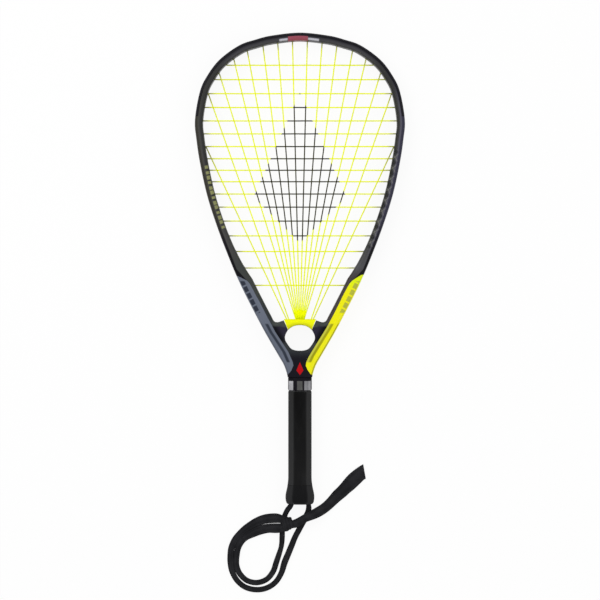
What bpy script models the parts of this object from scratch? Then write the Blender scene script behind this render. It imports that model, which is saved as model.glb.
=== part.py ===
"""A racquetball racket that lies on its back, in metres.

+Y runs from the butt to the tip of the head, +X is the right-hand side seen from the front, and +Z
is the front. The origin is under the middle of the racket, on the surface that it lies on.

The frame is one hollow moulding: hoop, arms, bridge, neck and the tube inside the handle. A bumper
wraps the crown, and a strip of grommet barrels lies in a groove down each side. A saddle sits on
the bridge. Foam pallets, a rubber sleeve, a collar and a stapled cap make the handle, and a lace
goes through the cap.
"""

import math

import bmesh
import bpy
import numpy as np
from mathutils import Matrix, Vector

# Whole racket
LENGTH = 0.5588
FIT = 0.0003

# Head, seen from the front
HEAD_WIDTH = 0.2486
CROWN_DEPTH = 0.1031
NECK_FROM_TIP = 0.4082
NECK_WIDTH = 0.0292
HOOP_WIDTH = 0.0089
ARM_WIDTH = 0.0155
ARM_FROM_TIP = 0.298
WIDENING_LENGTH = 0.075
WIDENING_POWER = 2.5

# The crown's outer edge: share of the half width, and share of the way down to the widest place
CROWN_SHAPE = [
    (0.0, 0.0),
    (0.268, 0.033),
    (0.422, 0.079),
    (0.580, 0.147),
    (0.765, 0.309),
    (0.882, 0.493),
    (0.953, 0.677),
    (1.0, 1.0),
]
# The sides' outer edge: share of the way out from the neck, and share of the way down to it
SIDE_SHAPE = [
    (0.984, 0.078),
    (0.944, 0.171),
    (0.867, 0.296),
    (0.756, 0.420),
    (0.623, 0.545),
    (0.511, 0.638),
    (0.382, 0.731),
    (0.244, 0.825),
    (0.094, 0.918),
    (0.043, 0.950),
    (0.011, 0.981),
    (0.0, 1.0),
]

# Frame section
TIP_BEAM = 0.022
SHOULDER_BEAM = 0.027
SHOULDER_FROM_TIP = 0.255
NECK_TAPER_FROM_TIP = 0.386
NECK_BEAM = 0.022
EDGE_ROUND = 0.0025
WALL = 0.0012
END_WALL = 0.0015

# Bridge and the window under it
BRIDGE_FROM_TIP = 0.3408
BRIDGE_THICKNESS = 0.0056
SHOULDER_DROP = 0.0022
CORNER_REACH = 0.0055
WINDOW_WIDTH = 0.0358
WINDOW_LENGTH = 0.0306
WINDOW_POWER = 2.1
BAR_HEIGHT = 0.014

# Bridge saddle
SADDLE_TOP_WIDTH = 0.038
SADDLE_FOOT_WIDTH = 0.029
SADDLE_LENGTH = 0.0113
SADDLE_WALL = 0.0012

# Groove, bumper and grommet strips
GROOVE_DEPTH = 0.0032
GROOVE_HEIGHT = 0.0085
STRIP_BASE = 0.0014
CHANNEL_HEIGHT = 0.0044
BUMPER_REACH = 0.178
STRIP_END_MARGIN = 0.012
BARREL_RADIUS = 0.0026
BORE_RADIUS = 0.0018
BARREL_NUB = 0.0008
HOLE_WEB = 0.0015
GROOVE_RUNOUT = 0.02

# Strings
STRING_DIAMETER = 0.0012
STRING_LAYER = 0.0008
CORNER_EASE = 0.0008
MAIN_HOLES_FROM_TIP = [0.0089, 0.0266, 0.0446, 0.0641, 0.0830, 0.1075]
MAIN_PITCH_AT_BRIDGE = 0.0015
OUTER_MAINS_AT_BRIDGE = [0.0138, 0.0165]
CROSSES_SHARED_BY_MAINS = [2, 6]
MIDDLE_CROSS_FROM_TIP = 0.1629
CROSSES_EACH_WAY = 8
CROSS_PITCH_MIDDLE = 0.01365
CROSS_PITCH_TIP = 0.0173
CROSS_PITCH_THROAT = 0.0205
TIP_EASING = 0.75
THROAT_EASING = 1.0

# Handle
SHAFT_WIDTH = 0.017
SHAFT_HEIGHT = 0.014
SHAFT_ROUND = 0.002
COLLAR_LENGTH = 0.016
COLLAR_WIDTH = 0.0292
COLLAR_HEIGHT = 0.0262
GRIP_WIDTH = 0.0274
GRIP_HEIGHT = 0.0244
GRIP_WALL = 0.0016
GRIP_FACET = 0.0065

# Butt cap
BUTT_WIDTH = 0.0342
BUTT_HEIGHT = SHOULDER_BEAM
BUTT_FACET = 0.008
FLARE_LENGTH = 0.0224
WIDEST_FROM_END = 0.0112
WIDEST_LENGTH = 0.003
END_WIDTH = 0.0274
END_HEIGHT = 0.0226
END_FACET = 0.0065
END_EDGE = 0.0017
CAP_END_WALL = 0.004
CAP_SKIRT = 0.011
CAP_SKIRT_WALL = 0.0016
CHAMBER_WIDTH = 0.0268
CHAMBER_HEIGHT = 0.0174
CHAMBER_LENGTH = 0.0135

# Staples
STAPLE_WIDTH = 0.0085
STAPLE_WIRE = 0.0006
STAPLE_LEG = 0.0026

# Wrist lace
LACE_DIAMETER = 0.0056
LACE_SPACING = 0.0203
LACE_HOLE_RADIUS = 0.0033
KNOT_SIZE = (0.0148, 0.0180, 0.0136)

# Places that follow from the sizes above
TIP_Y = LENGTH / 2
BUTT_Y = -LENGTH / 2
NECK_Y = TIP_Y - NECK_FROM_TIP
BRIDGE_Y = TIP_Y - BRIDGE_FROM_TIP
MID_Z = SHOULDER_BEAM / 2
WINDOW_TOP_Y = BRIDGE_Y - BRIDGE_THICKNESS
GRIP_TOP_Y = NECK_Y - COLLAR_LENGTH
GRIP_END_Y = BUTT_Y + FLARE_LENGTH
CAP_FLOOR_Y = BUTT_Y + CAP_END_WALL
CHAMBER_TOP_Y = CAP_FLOOR_Y + CHAMBER_LENGTH
CORE_END_Y = CHAMBER_TOP_Y + 2 * FIT
SKIRT_TOP_Y = GRIP_END_Y + CAP_SKIRT
CHANNEL_DEPTH = GROOVE_DEPTH - STRIP_BASE
PALLET_WIDTH = GRIP_WIDTH - 2 * (GRIP_WALL + FIT)
PALLET_HEIGHT = GRIP_HEIGHT - 2 * (GRIP_WALL + FIT)
PALLET_FACET = GRIP_FACET - GRIP_WALL
STEP_WIDTH = PALLET_WIDTH - 2 * (CAP_SKIRT_WALL + FIT)
STEP_HEIGHT = PALLET_HEIGHT - 2 * (CAP_SKIRT_WALL + FIT)
STEP_FACET = PALLET_FACET - CAP_SKIRT_WALL / 2

# Fineness of the mesh
OUTLINE_STEP = 0.0125
WINDOW_POINTS = 28
ROUND_STEPS = 1
HOLE_SIDES = 6
LACE_HOLE_SIDES = 12
REACH = 0.03
OVERRUN = 0.002
NECK_LEAD = 0.006
EDGE_STEPS = 12
SHARP_TURN = 50
NORMAL_REACH = 0.002
WELD_DISTANCE = 0.00003


def clear_scene():
    for old in list(bpy.data.objects):
        bpy.data.objects.remove(old, do_unlink=True)


def new_collection(name):
    made = bpy.data.collections.new(name)
    bpy.context.scene.collection.children.link(made)
    return made


clear_scene()
PARTS = new_collection("racquetball_racket")
CUTTERS = new_collection("cutters")


def material(name, colour, roughness, metallic=0.0):
    made = bpy.data.materials.new(name)
    made.use_nodes = True
    shader = made.node_tree.nodes["Principled BSDF"]
    shader.inputs["Base Color"].default_value = (*colour, 1.0)
    shader.inputs["Roughness"].default_value = roughness
    shader.inputs["Metallic"].default_value = metallic
    return made


def part(name, mesh, finish):
    """A sub-part of the racket, with its own material."""
    made = bpy.data.objects.new(name, mesh)
    mesh.materials.clear()
    mesh.materials.append(finish)
    PARTS.objects.link(made)
    return made


def tool(name, mesh):
    """A shape that cuts or joins a part and isn't one itself."""
    made = bpy.data.objects.new(name, mesh)
    made.hide_render = True
    made.display_type = "WIRE"
    CUTTERS.objects.link(made)
    return made


def boolean(target, other, operation):
    step = target.modifiers.new(other.name, "BOOLEAN")
    step.operation = operation
    step.solver = "EXACT"
    step.object = other


def cut(target, *cutters):
    for cutter in cutters:
        boolean(target, cutter, "DIFFERENCE")


def join(target, *others):
    for other in others:
        boolean(target, other, "UNION")


def keep_inside(target, other):
    boolean(target, other, "INTERSECT")


def close_slivers(target):
    """Merges the points that the cuts leave almost on one another."""
    step = target.modifiers.new("weld", "WELD")
    step.merge_threshold = WELD_DISTANCE


def welded(curve, name):
    """The closed mesh of a curve, whose caps are loose until they are welded."""
    holder = bpy.data.objects.new(name, curve)
    bpy.context.scene.collection.objects.link(holder)
    shown = holder.evaluated_get(bpy.context.evaluated_depsgraph_get())
    mesh = bpy.data.meshes.new_from_object(shown)
    bpy.data.objects.remove(holder)
    bpy.data.curves.remove(curve)
    work = bmesh.new()
    work.from_mesh(mesh)
    bmesh.ops.remove_doubles(work, verts=work.verts, dist=1e-6)
    bmesh.ops.recalc_face_normals(work, faces=work.faces)
    work.to_mesh(mesh)
    work.free()
    mesh.name = name
    return mesh


def slab(name, loops, half_height, rounding=0.0):
    """A flat outline with any holes, as thick as twice the half height, centred on z = 0."""
    curve = bpy.data.curves.new(name, "CURVE")
    curve.dimensions = "2D"
    curve.fill_mode = "BOTH"
    curve.extrude = half_height - rounding
    curve.bevel_depth = rounding
    curve.bevel_resolution = ROUND_STEPS
    curve.offset = -rounding
    for loop in loops:
        spline = curve.splines.new("POLY")
        spline.points.add(len(loop) - 1)
        for place, (x, y) in zip(spline.points, loop):
            place.co = (x, y, 0.0, 1.0)
        spline.use_cyclic_u = True
    return welded(curve, name)


def lifted(mesh, height):
    mesh.transform(Matrix.Translation((0.0, 0.0, height)))
    return mesh


def tube(name, points, radius, resolution):
    """A round cord or string through the points, with flat ends."""
    curve = bpy.data.curves.new(name, "CURVE")
    curve.dimensions = "3D"
    curve.bevel_depth = radius
    curve.bevel_resolution = resolution
    curve.use_fill_caps = True
    spline = curve.splines.new("POLY")
    spline.points.add(len(points) - 1)
    for place, point in zip(spline.points, points):
        place.co = (*point, 1.0)
    return welded(curve, name)


def rods(name, ends, radius, sides):
    """Straight round bars between pairs of points, with a corner towards the front."""
    work = bmesh.new()
    for start, end in ends:
        start, end = Vector(start), Vector(end)
        along = (end - start).normalized()
        front = Vector((0.0, 0.0, 1.0))
        turn = Matrix((front.cross(along), front, along)).transposed().to_4x4()
        bmesh.ops.create_cone(
            work,
            cap_ends=True,
            segments=sides,
            radius1=radius,
            radius2=radius,
            depth=(end - start).length,
            matrix=Matrix.Translation((start + end) / 2) @ turn,
        )
    mesh = bpy.data.meshes.new(name)
    work.to_mesh(mesh)
    work.free()
    return mesh


def box(name, low, high):
    low, high = Vector(low), Vector(high)
    work = bmesh.new()
    size = Matrix.Diagonal((*(high - low), 1.0))
    bmesh.ops.create_cube(work, matrix=Matrix.Translation((low + high) / 2) @ size)
    mesh = bpy.data.meshes.new(name)
    work.to_mesh(mesh)
    work.free()
    return mesh


def loft(name, rings):
    """A closed body through rings of as many points each."""
    work = bmesh.new()
    made = [[work.verts.new(point) for point in ring] for ring in rings]
    for ring, following in zip(made, made[1:]):
        for i in range(len(ring)):
            j = (i + 1) % len(ring)
            work.faces.new((ring[i], ring[j], following[j], following[i]))
    work.faces.new(made[0])
    work.faces.new(made[-1])
    bmesh.ops.recalc_face_normals(work, faces=work.faces)
    mesh = bpy.data.meshes.new(name)
    work.to_mesh(mesh)
    work.free()
    return mesh


def octagon(y, width, height, facet):
    """One ring round the handle: a rectangle with its corners cut off."""
    x, z = width / 2, height / 2
    corners = [
        (x, z - facet),
        (x - facet, z),
        (facet - x, z),
        (-x, z - facet),
        (-x, facet - z),
        (facet - x, -z),
        (x - facet, -z),
        (x, facet - z),
    ]
    return [(a, y, MID_Z + b) for a, b in corners]


def sleeve_block(name, stations):
    return loft(name, [octagon(*station) for station in stations])


# Outline of the head


def smooth_curve(points, steps):
    """Points along a Catmull-Rom curve from the second point to the last but one."""
    made = []
    for a, b, c, d in zip(points, points[1:], points[2:], points[3:]):
        a, b, c, d = (np.array(p, float) for p in (a, b, c, d))
        for t in np.arange(steps) / steps:
            even = 2 * b + (c - a) * t + (2 * a - 5 * b + 4 * c - d) * t**2
            made.append((even + (3 * b - a - 3 * c + d) * t**3) / 2)
    made.append(np.array(points[-2], float))
    return np.array(made)


def head_edge():
    """The right half of the head's outer edge, from the tip to the neck."""
    half, neck = HEAD_WIDTH / 2, NECK_WIDTH / 2
    side_length = NECK_FROM_TIP - CROWN_DEPTH
    points = [(u * half, TIP_Y - v * CROWN_DEPTH) for u, v in CROWN_SHAPE]
    for u, v in SIDE_SHAPE:
        points.append((neck + u * (half - neck), TIP_Y - CROWN_DEPTH - v * side_length))
    before = (-points[1][0], points[1][1])
    after = (points[-1][0], points[-1][1] - NECK_LEAD)
    return smooth_curve([before, *points, after], EDGE_STEPS)


EDGE = head_edge()
EDGE_RUN = np.concatenate([[0.0], np.cumsum(np.linalg.norm(np.diff(EDGE, axis=0), axis=1))])
EDGE_END = EDGE_RUN[-1]


def edge_point(run, depth=0.0):
    """The place at a distance along the outer edge from the tip, and at a depth under that edge.

    A negative distance is on the left half.
    """
    here = min(abs(run), EDGE_END)
    x = np.interp(here, EDGE_RUN, EDGE[:, 0])
    y = np.interp(here, EDGE_RUN, EDGE[:, 1])
    nx, ny = outward(here)
    place = (x - nx * depth, y - ny * depth)
    return place if run >= 0 else (-place[0], place[1])


def outward(run):
    """The outer edge's normal at a distance along its right half."""
    low, high = max(run - NORMAL_REACH, 0.0), min(run + NORMAL_REACH, EDGE_END)
    dx = np.interp(high, EDGE_RUN, EDGE[:, 0]) - np.interp(low, EDGE_RUN, EDGE[:, 0])
    dy = np.interp(high, EDGE_RUN, EDGE[:, 1]) - np.interp(low, EDGE_RUN, EDGE[:, 1])
    if run <= NORMAL_REACH:
        return 0.0, 1.0
    size = math.hypot(dx, dy)
    return -dy / size, dx / size


def hoop_width(run):
    """Width of the hoop in the plane of the head, which grows into the arms."""
    down = TIP_Y - edge_point(abs(run))[1]
    share = (down - ARM_FROM_TIP + WIDENING_LENGTH) / WIDENING_LENGTH
    share = min(max(share, 0.0), 1.0)
    return HOOP_WIDTH + (ARM_WIDTH - HOOP_WIDTH) * share**WIDENING_POWER


def inner_point(run, past=0.0):
    """A place on the inner edge of the hoop, or past it towards the strings."""
    return edge_point(run, hoop_width(run) + past)


def beam(y):
    """Thickness of the frame from front to back at a place along the racket."""
    down = TIP_Y - y
    stops = [0.0, SHOULDER_FROM_TIP, NECK_TAPER_FROM_TIP, NECK_FROM_TIP]
    return float(np.interp(down, stops, [TIP_BEAM, SHOULDER_BEAM, SHOULDER_BEAM, NECK_BEAM]))


def follow_beam(mesh, half_height, inset=0.0):
    """Gives a slab the frame's thickness, less the inset on each face, and its place."""
    work = bmesh.new()
    work.from_mesh(mesh)
    for vertex in work.verts:
        share = vertex.co.z / half_height
        vertex.co.z = MID_Z + share * (beam(vertex.co.y) / 2 - inset)
    bmesh.ops.triangulate(work, faces=work.faces)
    work.to_mesh(mesh)
    work.free()
    return mesh


def runs(start, stop, step=OUTLINE_STEP):
    return np.linspace(start, stop, max(2, math.ceil((stop - start) / step)) + 1)


def mirrored(right):
    """A closed outline from its right half, which may start or end on the middle line."""
    left = [(-x, y) for x, y in reversed(right) if x > 1e-6]
    return [*right, *left]


def run_where(value, target):
    """The distance along the outer edge at which a falling quantity meets its target."""
    low, high = 0.0, EDGE_END
    for _ in range(50):
        middle = (low + high) / 2
        if value(middle) > target:
            low = middle
        else:
            high = middle
    return (low + high) / 2


CORNER_Y = BRIDGE_Y - SHOULDER_DROP
CORNER_RUN = run_where(lambda run: inner_point(run)[1], CORNER_Y)


def rounded_corner(before, corner, after, steps=4):
    """Points that turn a corner on a smooth arc, from one side of it to the other."""
    before, corner, after = (Vector(p) for p in (before, corner, after))
    start = corner + (before - corner).normalized() * CORNER_REACH
    end = corner + (after - corner).normalized() * CORNER_REACH
    made = []
    for i in range(steps + 1):
        t = i / steps
        made.append(tuple(start * (1 - t) ** 2 + corner * 2 * t * (1 - t) + end * t**2))
    return made


def opening_loop():
    """The edge of the string opening."""
    last = CORNER_RUN - CORNER_REACH * 1.3
    right = [inner_point(run) for run in runs(0.0, last)]
    seat = (SADDLE_TOP_WIDTH / 2 + 4 * FIT, BRIDGE_Y)
    right += rounded_corner(inner_point(last), inner_point(CORNER_RUN), seat)
    right.append(seat)
    return mirrored(right)


def window_point(angle, growth=0.0):
    """A place on the window's edge, from 0 at the right, anticlockwise."""
    power = 2 / WINDOW_POWER
    across, up = math.cos(angle), math.sin(angle)
    x = math.copysign(abs(across) ** power, across) * (WINDOW_WIDTH / 2 + growth)
    y = math.copysign(abs(up) ** power, up) * (WINDOW_LENGTH / 2 + growth)
    return x, WINDOW_TOP_Y - WINDOW_LENGTH / 2 + y


def window_loop():
    return [window_point(2 * math.pi * i / WINDOW_POINTS) for i in range(WINDOW_POINTS)]


def head_loop(bottom):
    """The outer edge of the head and neck, with the neck carried straight down to a place."""
    right = [edge_point(run) for run in runs(0.0, EDGE_END)]
    right.append((NECK_WIDTH / 2, bottom))
    return mirrored(right)


def band_loop(start, stop, near, far):
    """A band along the head's outer edge, between two depths under that edge."""
    along = runs(start, stop)
    outside = [edge_point(run, near) for run in along]
    inside = [edge_point(run, far) for run in reversed(along)]
    return [*outside, *inside]


def head_blank(name):
    """The solid head and neck, before anything is cut from them."""
    half = SHOULDER_BEAM / 2
    loops = [head_loop(NECK_Y - COLLAR_LENGTH), opening_loop(), window_loop()]
    return follow_beam(slab(name, loops, half, EDGE_ROUND), half)


# String holes


def cross_places():
    """How far each cross string is from the tip."""
    above, below = [0.0], [0.0]
    for i in range(CROSSES_EACH_WAY):
        share = i / (CROSSES_EACH_WAY - 1)
        tip_growth = (CROSS_PITCH_TIP - CROSS_PITCH_MIDDLE) * share**TIP_EASING
        throat_growth = (CROSS_PITCH_THROAT - CROSS_PITCH_MIDDLE) * share**THROAT_EASING
        above.append(above[-1] + CROSS_PITCH_MIDDLE + tip_growth)
        below.append(below[-1] + CROSS_PITCH_MIDDLE + throat_growth)
    offsets = [-distance for distance in reversed(above[1:])] + below
    return [MIDDLE_CROSS_FROM_TIP + offset for offset in offsets]


def inner_run_table():
    along = np.linspace(0.0, CORNER_RUN, 400)
    places = np.array([inner_point(run) for run in along])
    steps = np.linalg.norm(np.diff(places, axis=0), axis=1)
    return along, np.concatenate([[0.0], np.cumsum(steps)])


def own_or_shared(run):
    """A main's hole, or the cross's hole that it would run into."""
    nearest = min(CROSS_RUNS, key=lambda other: abs(other - run))
    return nearest if abs(nearest - run) < 2 * HOLE_CLEARANCE else run


ALONG, INNER_RUN = inner_run_table()
HOLE_CLEARANCE = BARREL_RADIUS + FIT + HOLE_WEB
CROSS_RUNS = [
    run_where(lambda run: inner_point(run)[1], TIP_Y - down) for down in cross_places()
]
MAIN_RUNS = [
    own_or_shared(float(np.interp(far, INNER_RUN, ALONG))) for far in MAIN_HOLES_FROM_TIP
]
MAIN_RUNS += [CROSS_RUNS[i] for i in CROSSES_SHARED_BY_MAINS]
HOLE_RUNS = sorted(set(CROSS_RUNS + MAIN_RUNS))
BUMPER_HOLES = [run for run in HOLE_RUNS if run < BUMPER_REACH]
STRIP_HOLES = [run for run in HOLE_RUNS if run > BUMPER_REACH]
BUMPER_END = max(BUMPER_REACH, BUMPER_HOLES[-1] + HOLE_CLEARANCE)
BUMPER_END = min(BUMPER_END, STRIP_HOLES[0] - HOLE_CLEARANCE)
STRIP_START = BUMPER_END + FIT
STRIP_END = STRIP_HOLES[-1] + STRIP_END_MARGIN


def hole_line(run, side, near, past):
    """The two ends of a bar along a string hole, from a depth to past the inner edge."""
    start = edge_point(side * run, near)
    end = edge_point(side * run, hoop_width(run) + past)
    return (*start, MID_Z), (*end, MID_Z)


def hole_rods(name, holes, sides, near, past, radius):
    lines = [hole_line(run, side, near, past) for side in sides for run in holes]
    return rods(name, lines, radius, HOLE_SIDES)


# Frame


def saddle_loop(growth):
    """The saddle's outline in plan, from the string side down to its feet."""
    slope = (SADDLE_TOP_WIDTH - SADDLE_FOOT_WIDTH) / 2 / SADDLE_LENGTH
    above, below = CORNER_REACH, SADDLE_LENGTH + growth
    top = SADDLE_TOP_WIDTH / 2 + growth + slope * above
    foot = SADDLE_TOP_WIDTH / 2 + growth - slope * below
    high, low = BRIDGE_Y + above, BRIDGE_Y - below
    return [(-top, high), (top, high), (foot, low), (-foot, low)]


def void_loops():
    """The hollow of the head: inside the walls, and round the opening and window as one."""
    groove_end = [STRIP_END, STRIP_END + GROOVE_RUNOUT]

    def outer_depth(run):
        return WALL + (GROOVE_DEPTH + FIT) * float(np.interp(run, groove_end, [1.0, 0.0]))

    outer = [edge_point(run, outer_depth(run)) for run in runs(0.0, EDGE_END - END_WALL)]
    inner = [inner_point(run, -WALL) for run in runs(0.0, CORNER_RUN - 2 * CORNER_REACH)]
    turns = np.linspace(-0.1, -math.pi / 2, 8)
    inner += [window_point(turn, WALL) for turn in turns]
    return [mirrored(outer), mirrored(inner)]


def build_frame(finish):
    frame = part("frame", head_blank("frame"), finish)
    below = (-REACH, BUTT_Y, -REACH), (REACH, NECK_Y, SHOULDER_BEAM + REACH)
    cut(frame, tool("neck_trim", box("neck_trim", *below)))

    shaft_loop = [
        (-SHAFT_WIDTH / 2, CORE_END_Y),
        (SHAFT_WIDTH / 2, CORE_END_Y),
        (SHAFT_WIDTH / 2, NECK_Y + END_WALL),
        (-SHAFT_WIDTH / 2, NECK_Y + END_WALL),
    ]
    shaft = slab("shaft", [shaft_loop], SHAFT_HEIGHT / 2, SHAFT_ROUND)
    join(frame, tool("shaft", lifted(shaft, MID_Z)))

    half = SHOULDER_BEAM / 2
    void = follow_beam(slab("head_void", void_loops(), half), half, WALL)
    bore_half = SHAFT_WIDTH / 2 - WALL, SHAFT_HEIGHT / 2 - WALL
    bore = box(
        "shaft_bore",
        (-bore_half[0], CORE_END_Y - END_WALL, MID_Z - bore_half[1]),
        (bore_half[0], NECK_Y + 4 * END_WALL, MID_Z + bore_half[1]),
    )
    cut(frame, tool("head_void", void), tool("shaft_bore", bore))

    depth = GROOVE_DEPTH + FIT
    rebate = slab("rebate", [band_loop(-BUMPER_END, BUMPER_END, -depth, depth)], REACH)
    cut(frame, tool("rebate", lifted(rebate, MID_Z)))
    for side, name in ((1, "right_groove"), (-1, "left_groove")):
        ends = sorted((side * (BUMPER_END - FIT), side * (STRIP_END + FIT)))
        groove = slab(name, [band_loop(*ends, -depth, depth)], GROOVE_HEIGHT / 2)
        cut(frame, tool(name, lifted(groove, MID_Z)))
    holes = hole_rods("frame_holes", HOLE_RUNS, (1, -1), 0.0, OVERRUN, BARREL_RADIUS + FIT)
    cut(frame, tool("frame_holes", holes))

    for name, direction in (("front_seat", 1), ("back_seat", -1)):
        seat = slab(name, [saddle_loop(FIT)], (REACH - BAR_HEIGHT / 2) / 2)
        centre = MID_Z + direction * (REACH + BAR_HEIGHT / 2) / 2
        cut(frame, tool(name, lifted(seat, centre)))
    reach = SADDLE_TOP_WIDTH / 2 + FIT
    top = box(
        "saddle_rebate",
        (-reach, BRIDGE_Y - SADDLE_WALL - FIT, MID_Z - REACH),
        (reach, BRIDGE_Y + CORNER_REACH, MID_Z + REACH),
    )
    cut(frame, tool("saddle_rebate", top))
    return frame


def cut_bridge_holes(frame, saddle):
    """The slot of the inner mains and the holes of the two outer ones on each side."""
    inner = len(MAIN_HOLES_FROM_TIP) * MAIN_PITCH_AT_BRIDGE + STRING_DIAMETER / 2
    slot = box(
        "bridge_slot",
        (-inner, WINDOW_TOP_Y - SADDLE_LENGTH, MID_Z - BORE_RADIUS),
        (inner, BRIDGE_Y + CORNER_REACH / 2, MID_Z + BORE_RADIUS),
    )
    lines = []
    for x in OUTER_MAINS_AT_BRIDGE:
        for side in (1, -1):
            low = (side * x, WINDOW_TOP_Y - WINDOW_LENGTH / 2, MID_Z - STRING_LAYER)
            high = (side * x, BRIDGE_Y + CORNER_REACH / 2, MID_Z - STRING_LAYER)
            lines.append((low, high))
    radius = STRING_DIAMETER / 2 + 2 * FIT
    slot = tool("bridge_slot", slot)
    holes = tool("bridge_holes", rods("bridge_holes", lines, radius, HOLE_SIDES))
    for target in (frame, saddle):
        cut(target, slot, holes)
        close_slivers(target)


def build_saddle(finish):
    saddle = part("bridge_grommet", head_blank("bridge_grommet"), finish)
    outline = tool("saddle_outline", lifted(slab("saddle_outline", [saddle_loop(0.0)], REACH), MID_Z))
    keep_inside(saddle, outline)
    half = BAR_HEIGHT / 2 + FIT
    pocket = box(
        "saddle_pocket",
        (-REACH, BRIDGE_Y - REACH, MID_Z - half),
        (REACH, BRIDGE_Y - SADDLE_WALL, MID_Z + half),
    )
    cut(saddle, tool("saddle_pocket", pocket))
    return saddle


# Bumper and grommet strips


def add_barrels(target, name, holes, sides):
    """Joins the barrels that line the frame's holes, and opens their bores."""
    root = GROOVE_DEPTH - STRIP_BASE / 2
    barrels = hole_rods(name + "_barrels", holes, sides, root, BARREL_NUB, BARREL_RADIUS)
    bores = hole_rods(name + "_bores", holes, sides, -OVERRUN, OVERRUN, BORE_RADIUS)
    join(target, tool(name + "_barrels", barrels))
    cut(target, tool(name + "_bores", bores))
    close_slivers(target)


def build_bumper(finish):
    bumper = part("crown_bumper", head_blank("crown_bumper"), finish)
    reach = BUMPER_END - FIT
    band = slab("bumper_band", [band_loop(-reach, reach, -OVERRUN, GROOVE_DEPTH)], REACH)
    keep_inside(bumper, tool("bumper_band", lifted(band, MID_Z)))
    channel = band_loop(-reach - OVERRUN, reach + OVERRUN, -OVERRUN, CHANNEL_DEPTH)
    channel = slab("bumper_channel", [channel], CHANNEL_HEIGHT / 2)
    cut(bumper, tool("bumper_channel", lifted(channel, MID_Z)))
    add_barrels(bumper, "bumper", BUMPER_HOLES, (1, -1))
    return bumper


def build_strip(name, side, finish):
    ends = sorted((side * STRIP_START, side * STRIP_END))
    base = slab(name, [band_loop(*ends, CHANNEL_DEPTH, GROOVE_DEPTH)], GROOVE_HEIGHT / 2 - FIT)
    strip = part(name, lifted(base, MID_Z), finish)
    add_barrels(strip, name, STRIP_HOLES, (side,))
    return strip


# Strings


def eased(points, ease=CORNER_EASE):
    """The points with each sharp corner cut off, so that the string turns in two steps."""
    points = [Vector(p) for p in points]
    made = [points[0]]
    for a, b, c in zip(points, points[1:], points[2:]):
        turn = (b - a).angle(c - b, 0.0)
        if turn < math.radians(SHARP_TURN):
            made.append(b)
        else:
            made.append(b + (a - b).normalized() * ease)
            made.append(b + (c - b).normalized() * ease)
    made.append(points[-1])
    return made


def channel_way(start, stop, height):
    """The string's way along the channel outside the hoop, from one hole to another."""
    depth = STRING_DIAMETER / 2 + FIT
    count = max(2, math.ceil(abs(stop - start) / OUTLINE_STEP)) + 1
    return [(*edge_point(run, depth), height) for run in np.linspace(start, stop, count)]


def mouth(run, side, height):
    """Where a string leaves its barrel on the inside of the hoop."""
    return (*edge_point(side * run, hoop_width(run) + BARREL_NUB + FIT), height)


def build_cross_string(finish):
    height = MID_Z + STRING_LAYER
    points = []
    for i, run in enumerate(CROSS_RUNS):
        side = 1 if i % 2 == 0 else -1
        if i == 0:
            points.append((*edge_point(-side * run, CHANNEL_DEPTH / 2), height))
        points += [mouth(run, -side, height), mouth(run, side, height)]
        if i + 1 < len(CROSS_RUNS):
            points += channel_way(side * run, side * CROSS_RUNS[i + 1], height)
        else:
            points.append((*edge_point(side * run, CHANNEL_DEPTH / 2), height))
    mesh = tube("cross_string", eased(points), STRING_DIAMETER / 2, 1)
    return part("cross_string", mesh, finish)


def bridge_mouths():
    """How far from the middle line each main goes into the bridge, from the inside outwards."""
    inner = [(i + 0.5) * MAIN_PITCH_AT_BRIDGE for i in range(len(MAIN_HOLES_FROM_TIP))]
    return inner + OUTER_MAINS_AT_BRIDGE


def under_bridge(x):
    """Just under the bridge, in the window, at a distance from the middle line."""
    share = min(abs(x) / (WINDOW_WIDTH / 2), 1.0)
    arch = (1 - share**WINDOW_POWER) ** (1 / WINDOW_POWER)
    middle = WINDOW_TOP_Y - WINDOW_LENGTH / 2
    return middle + arch * WINDOW_LENGTH / 2 - STRING_DIAMETER / 2 - FIT


def build_main_string(finish):
    """One string from the outermost main on the right to the outermost on the left."""
    height = MID_Z - STRING_LAYER
    at_bridge = bridge_mouths()
    count = len(at_bridge)
    order = [(i, 1) for i in reversed(range(count))] + [(i, -1) for i in range(count)]
    first = order[0]
    points = [(*edge_point(first[1] * MAIN_RUNS[first[0]], CHANNEL_DEPTH / 2), height)]
    downwards = True
    for step, (i, side) in enumerate(order):
        x = side * at_bridge[i]
        top = mouth(MAIN_RUNS[i], side, height)
        way = [top, (x, BRIDGE_Y + FIT, height), (x, under_bridge(x), height)]
        points += way if downwards else reversed(way)
        if step + 1 == len(order):
            points.append((*edge_point(side * MAIN_RUNS[i], CHANNEL_DEPTH / 2), height))
        elif not downwards:
            following, other = order[step + 1]
            points += channel_way(side * MAIN_RUNS[i], other * MAIN_RUNS[following], height)
        downwards = not downwards
    mesh = tube("main_string", eased(points, STRING_DIAMETER / 3), STRING_DIAMETER / 2, 1)
    return part("main_string", mesh, finish)


# Handle


def half_space(name, direction):
    """A box that holds everything on one side of the handle's joint plane."""
    low, high = sorted((MID_Z + direction * FIT / 2, MID_Z + direction * REACH))
    return box(name, (-REACH, BUTT_Y - REACH, low), (REACH, NECK_Y + REACH, high))


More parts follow.
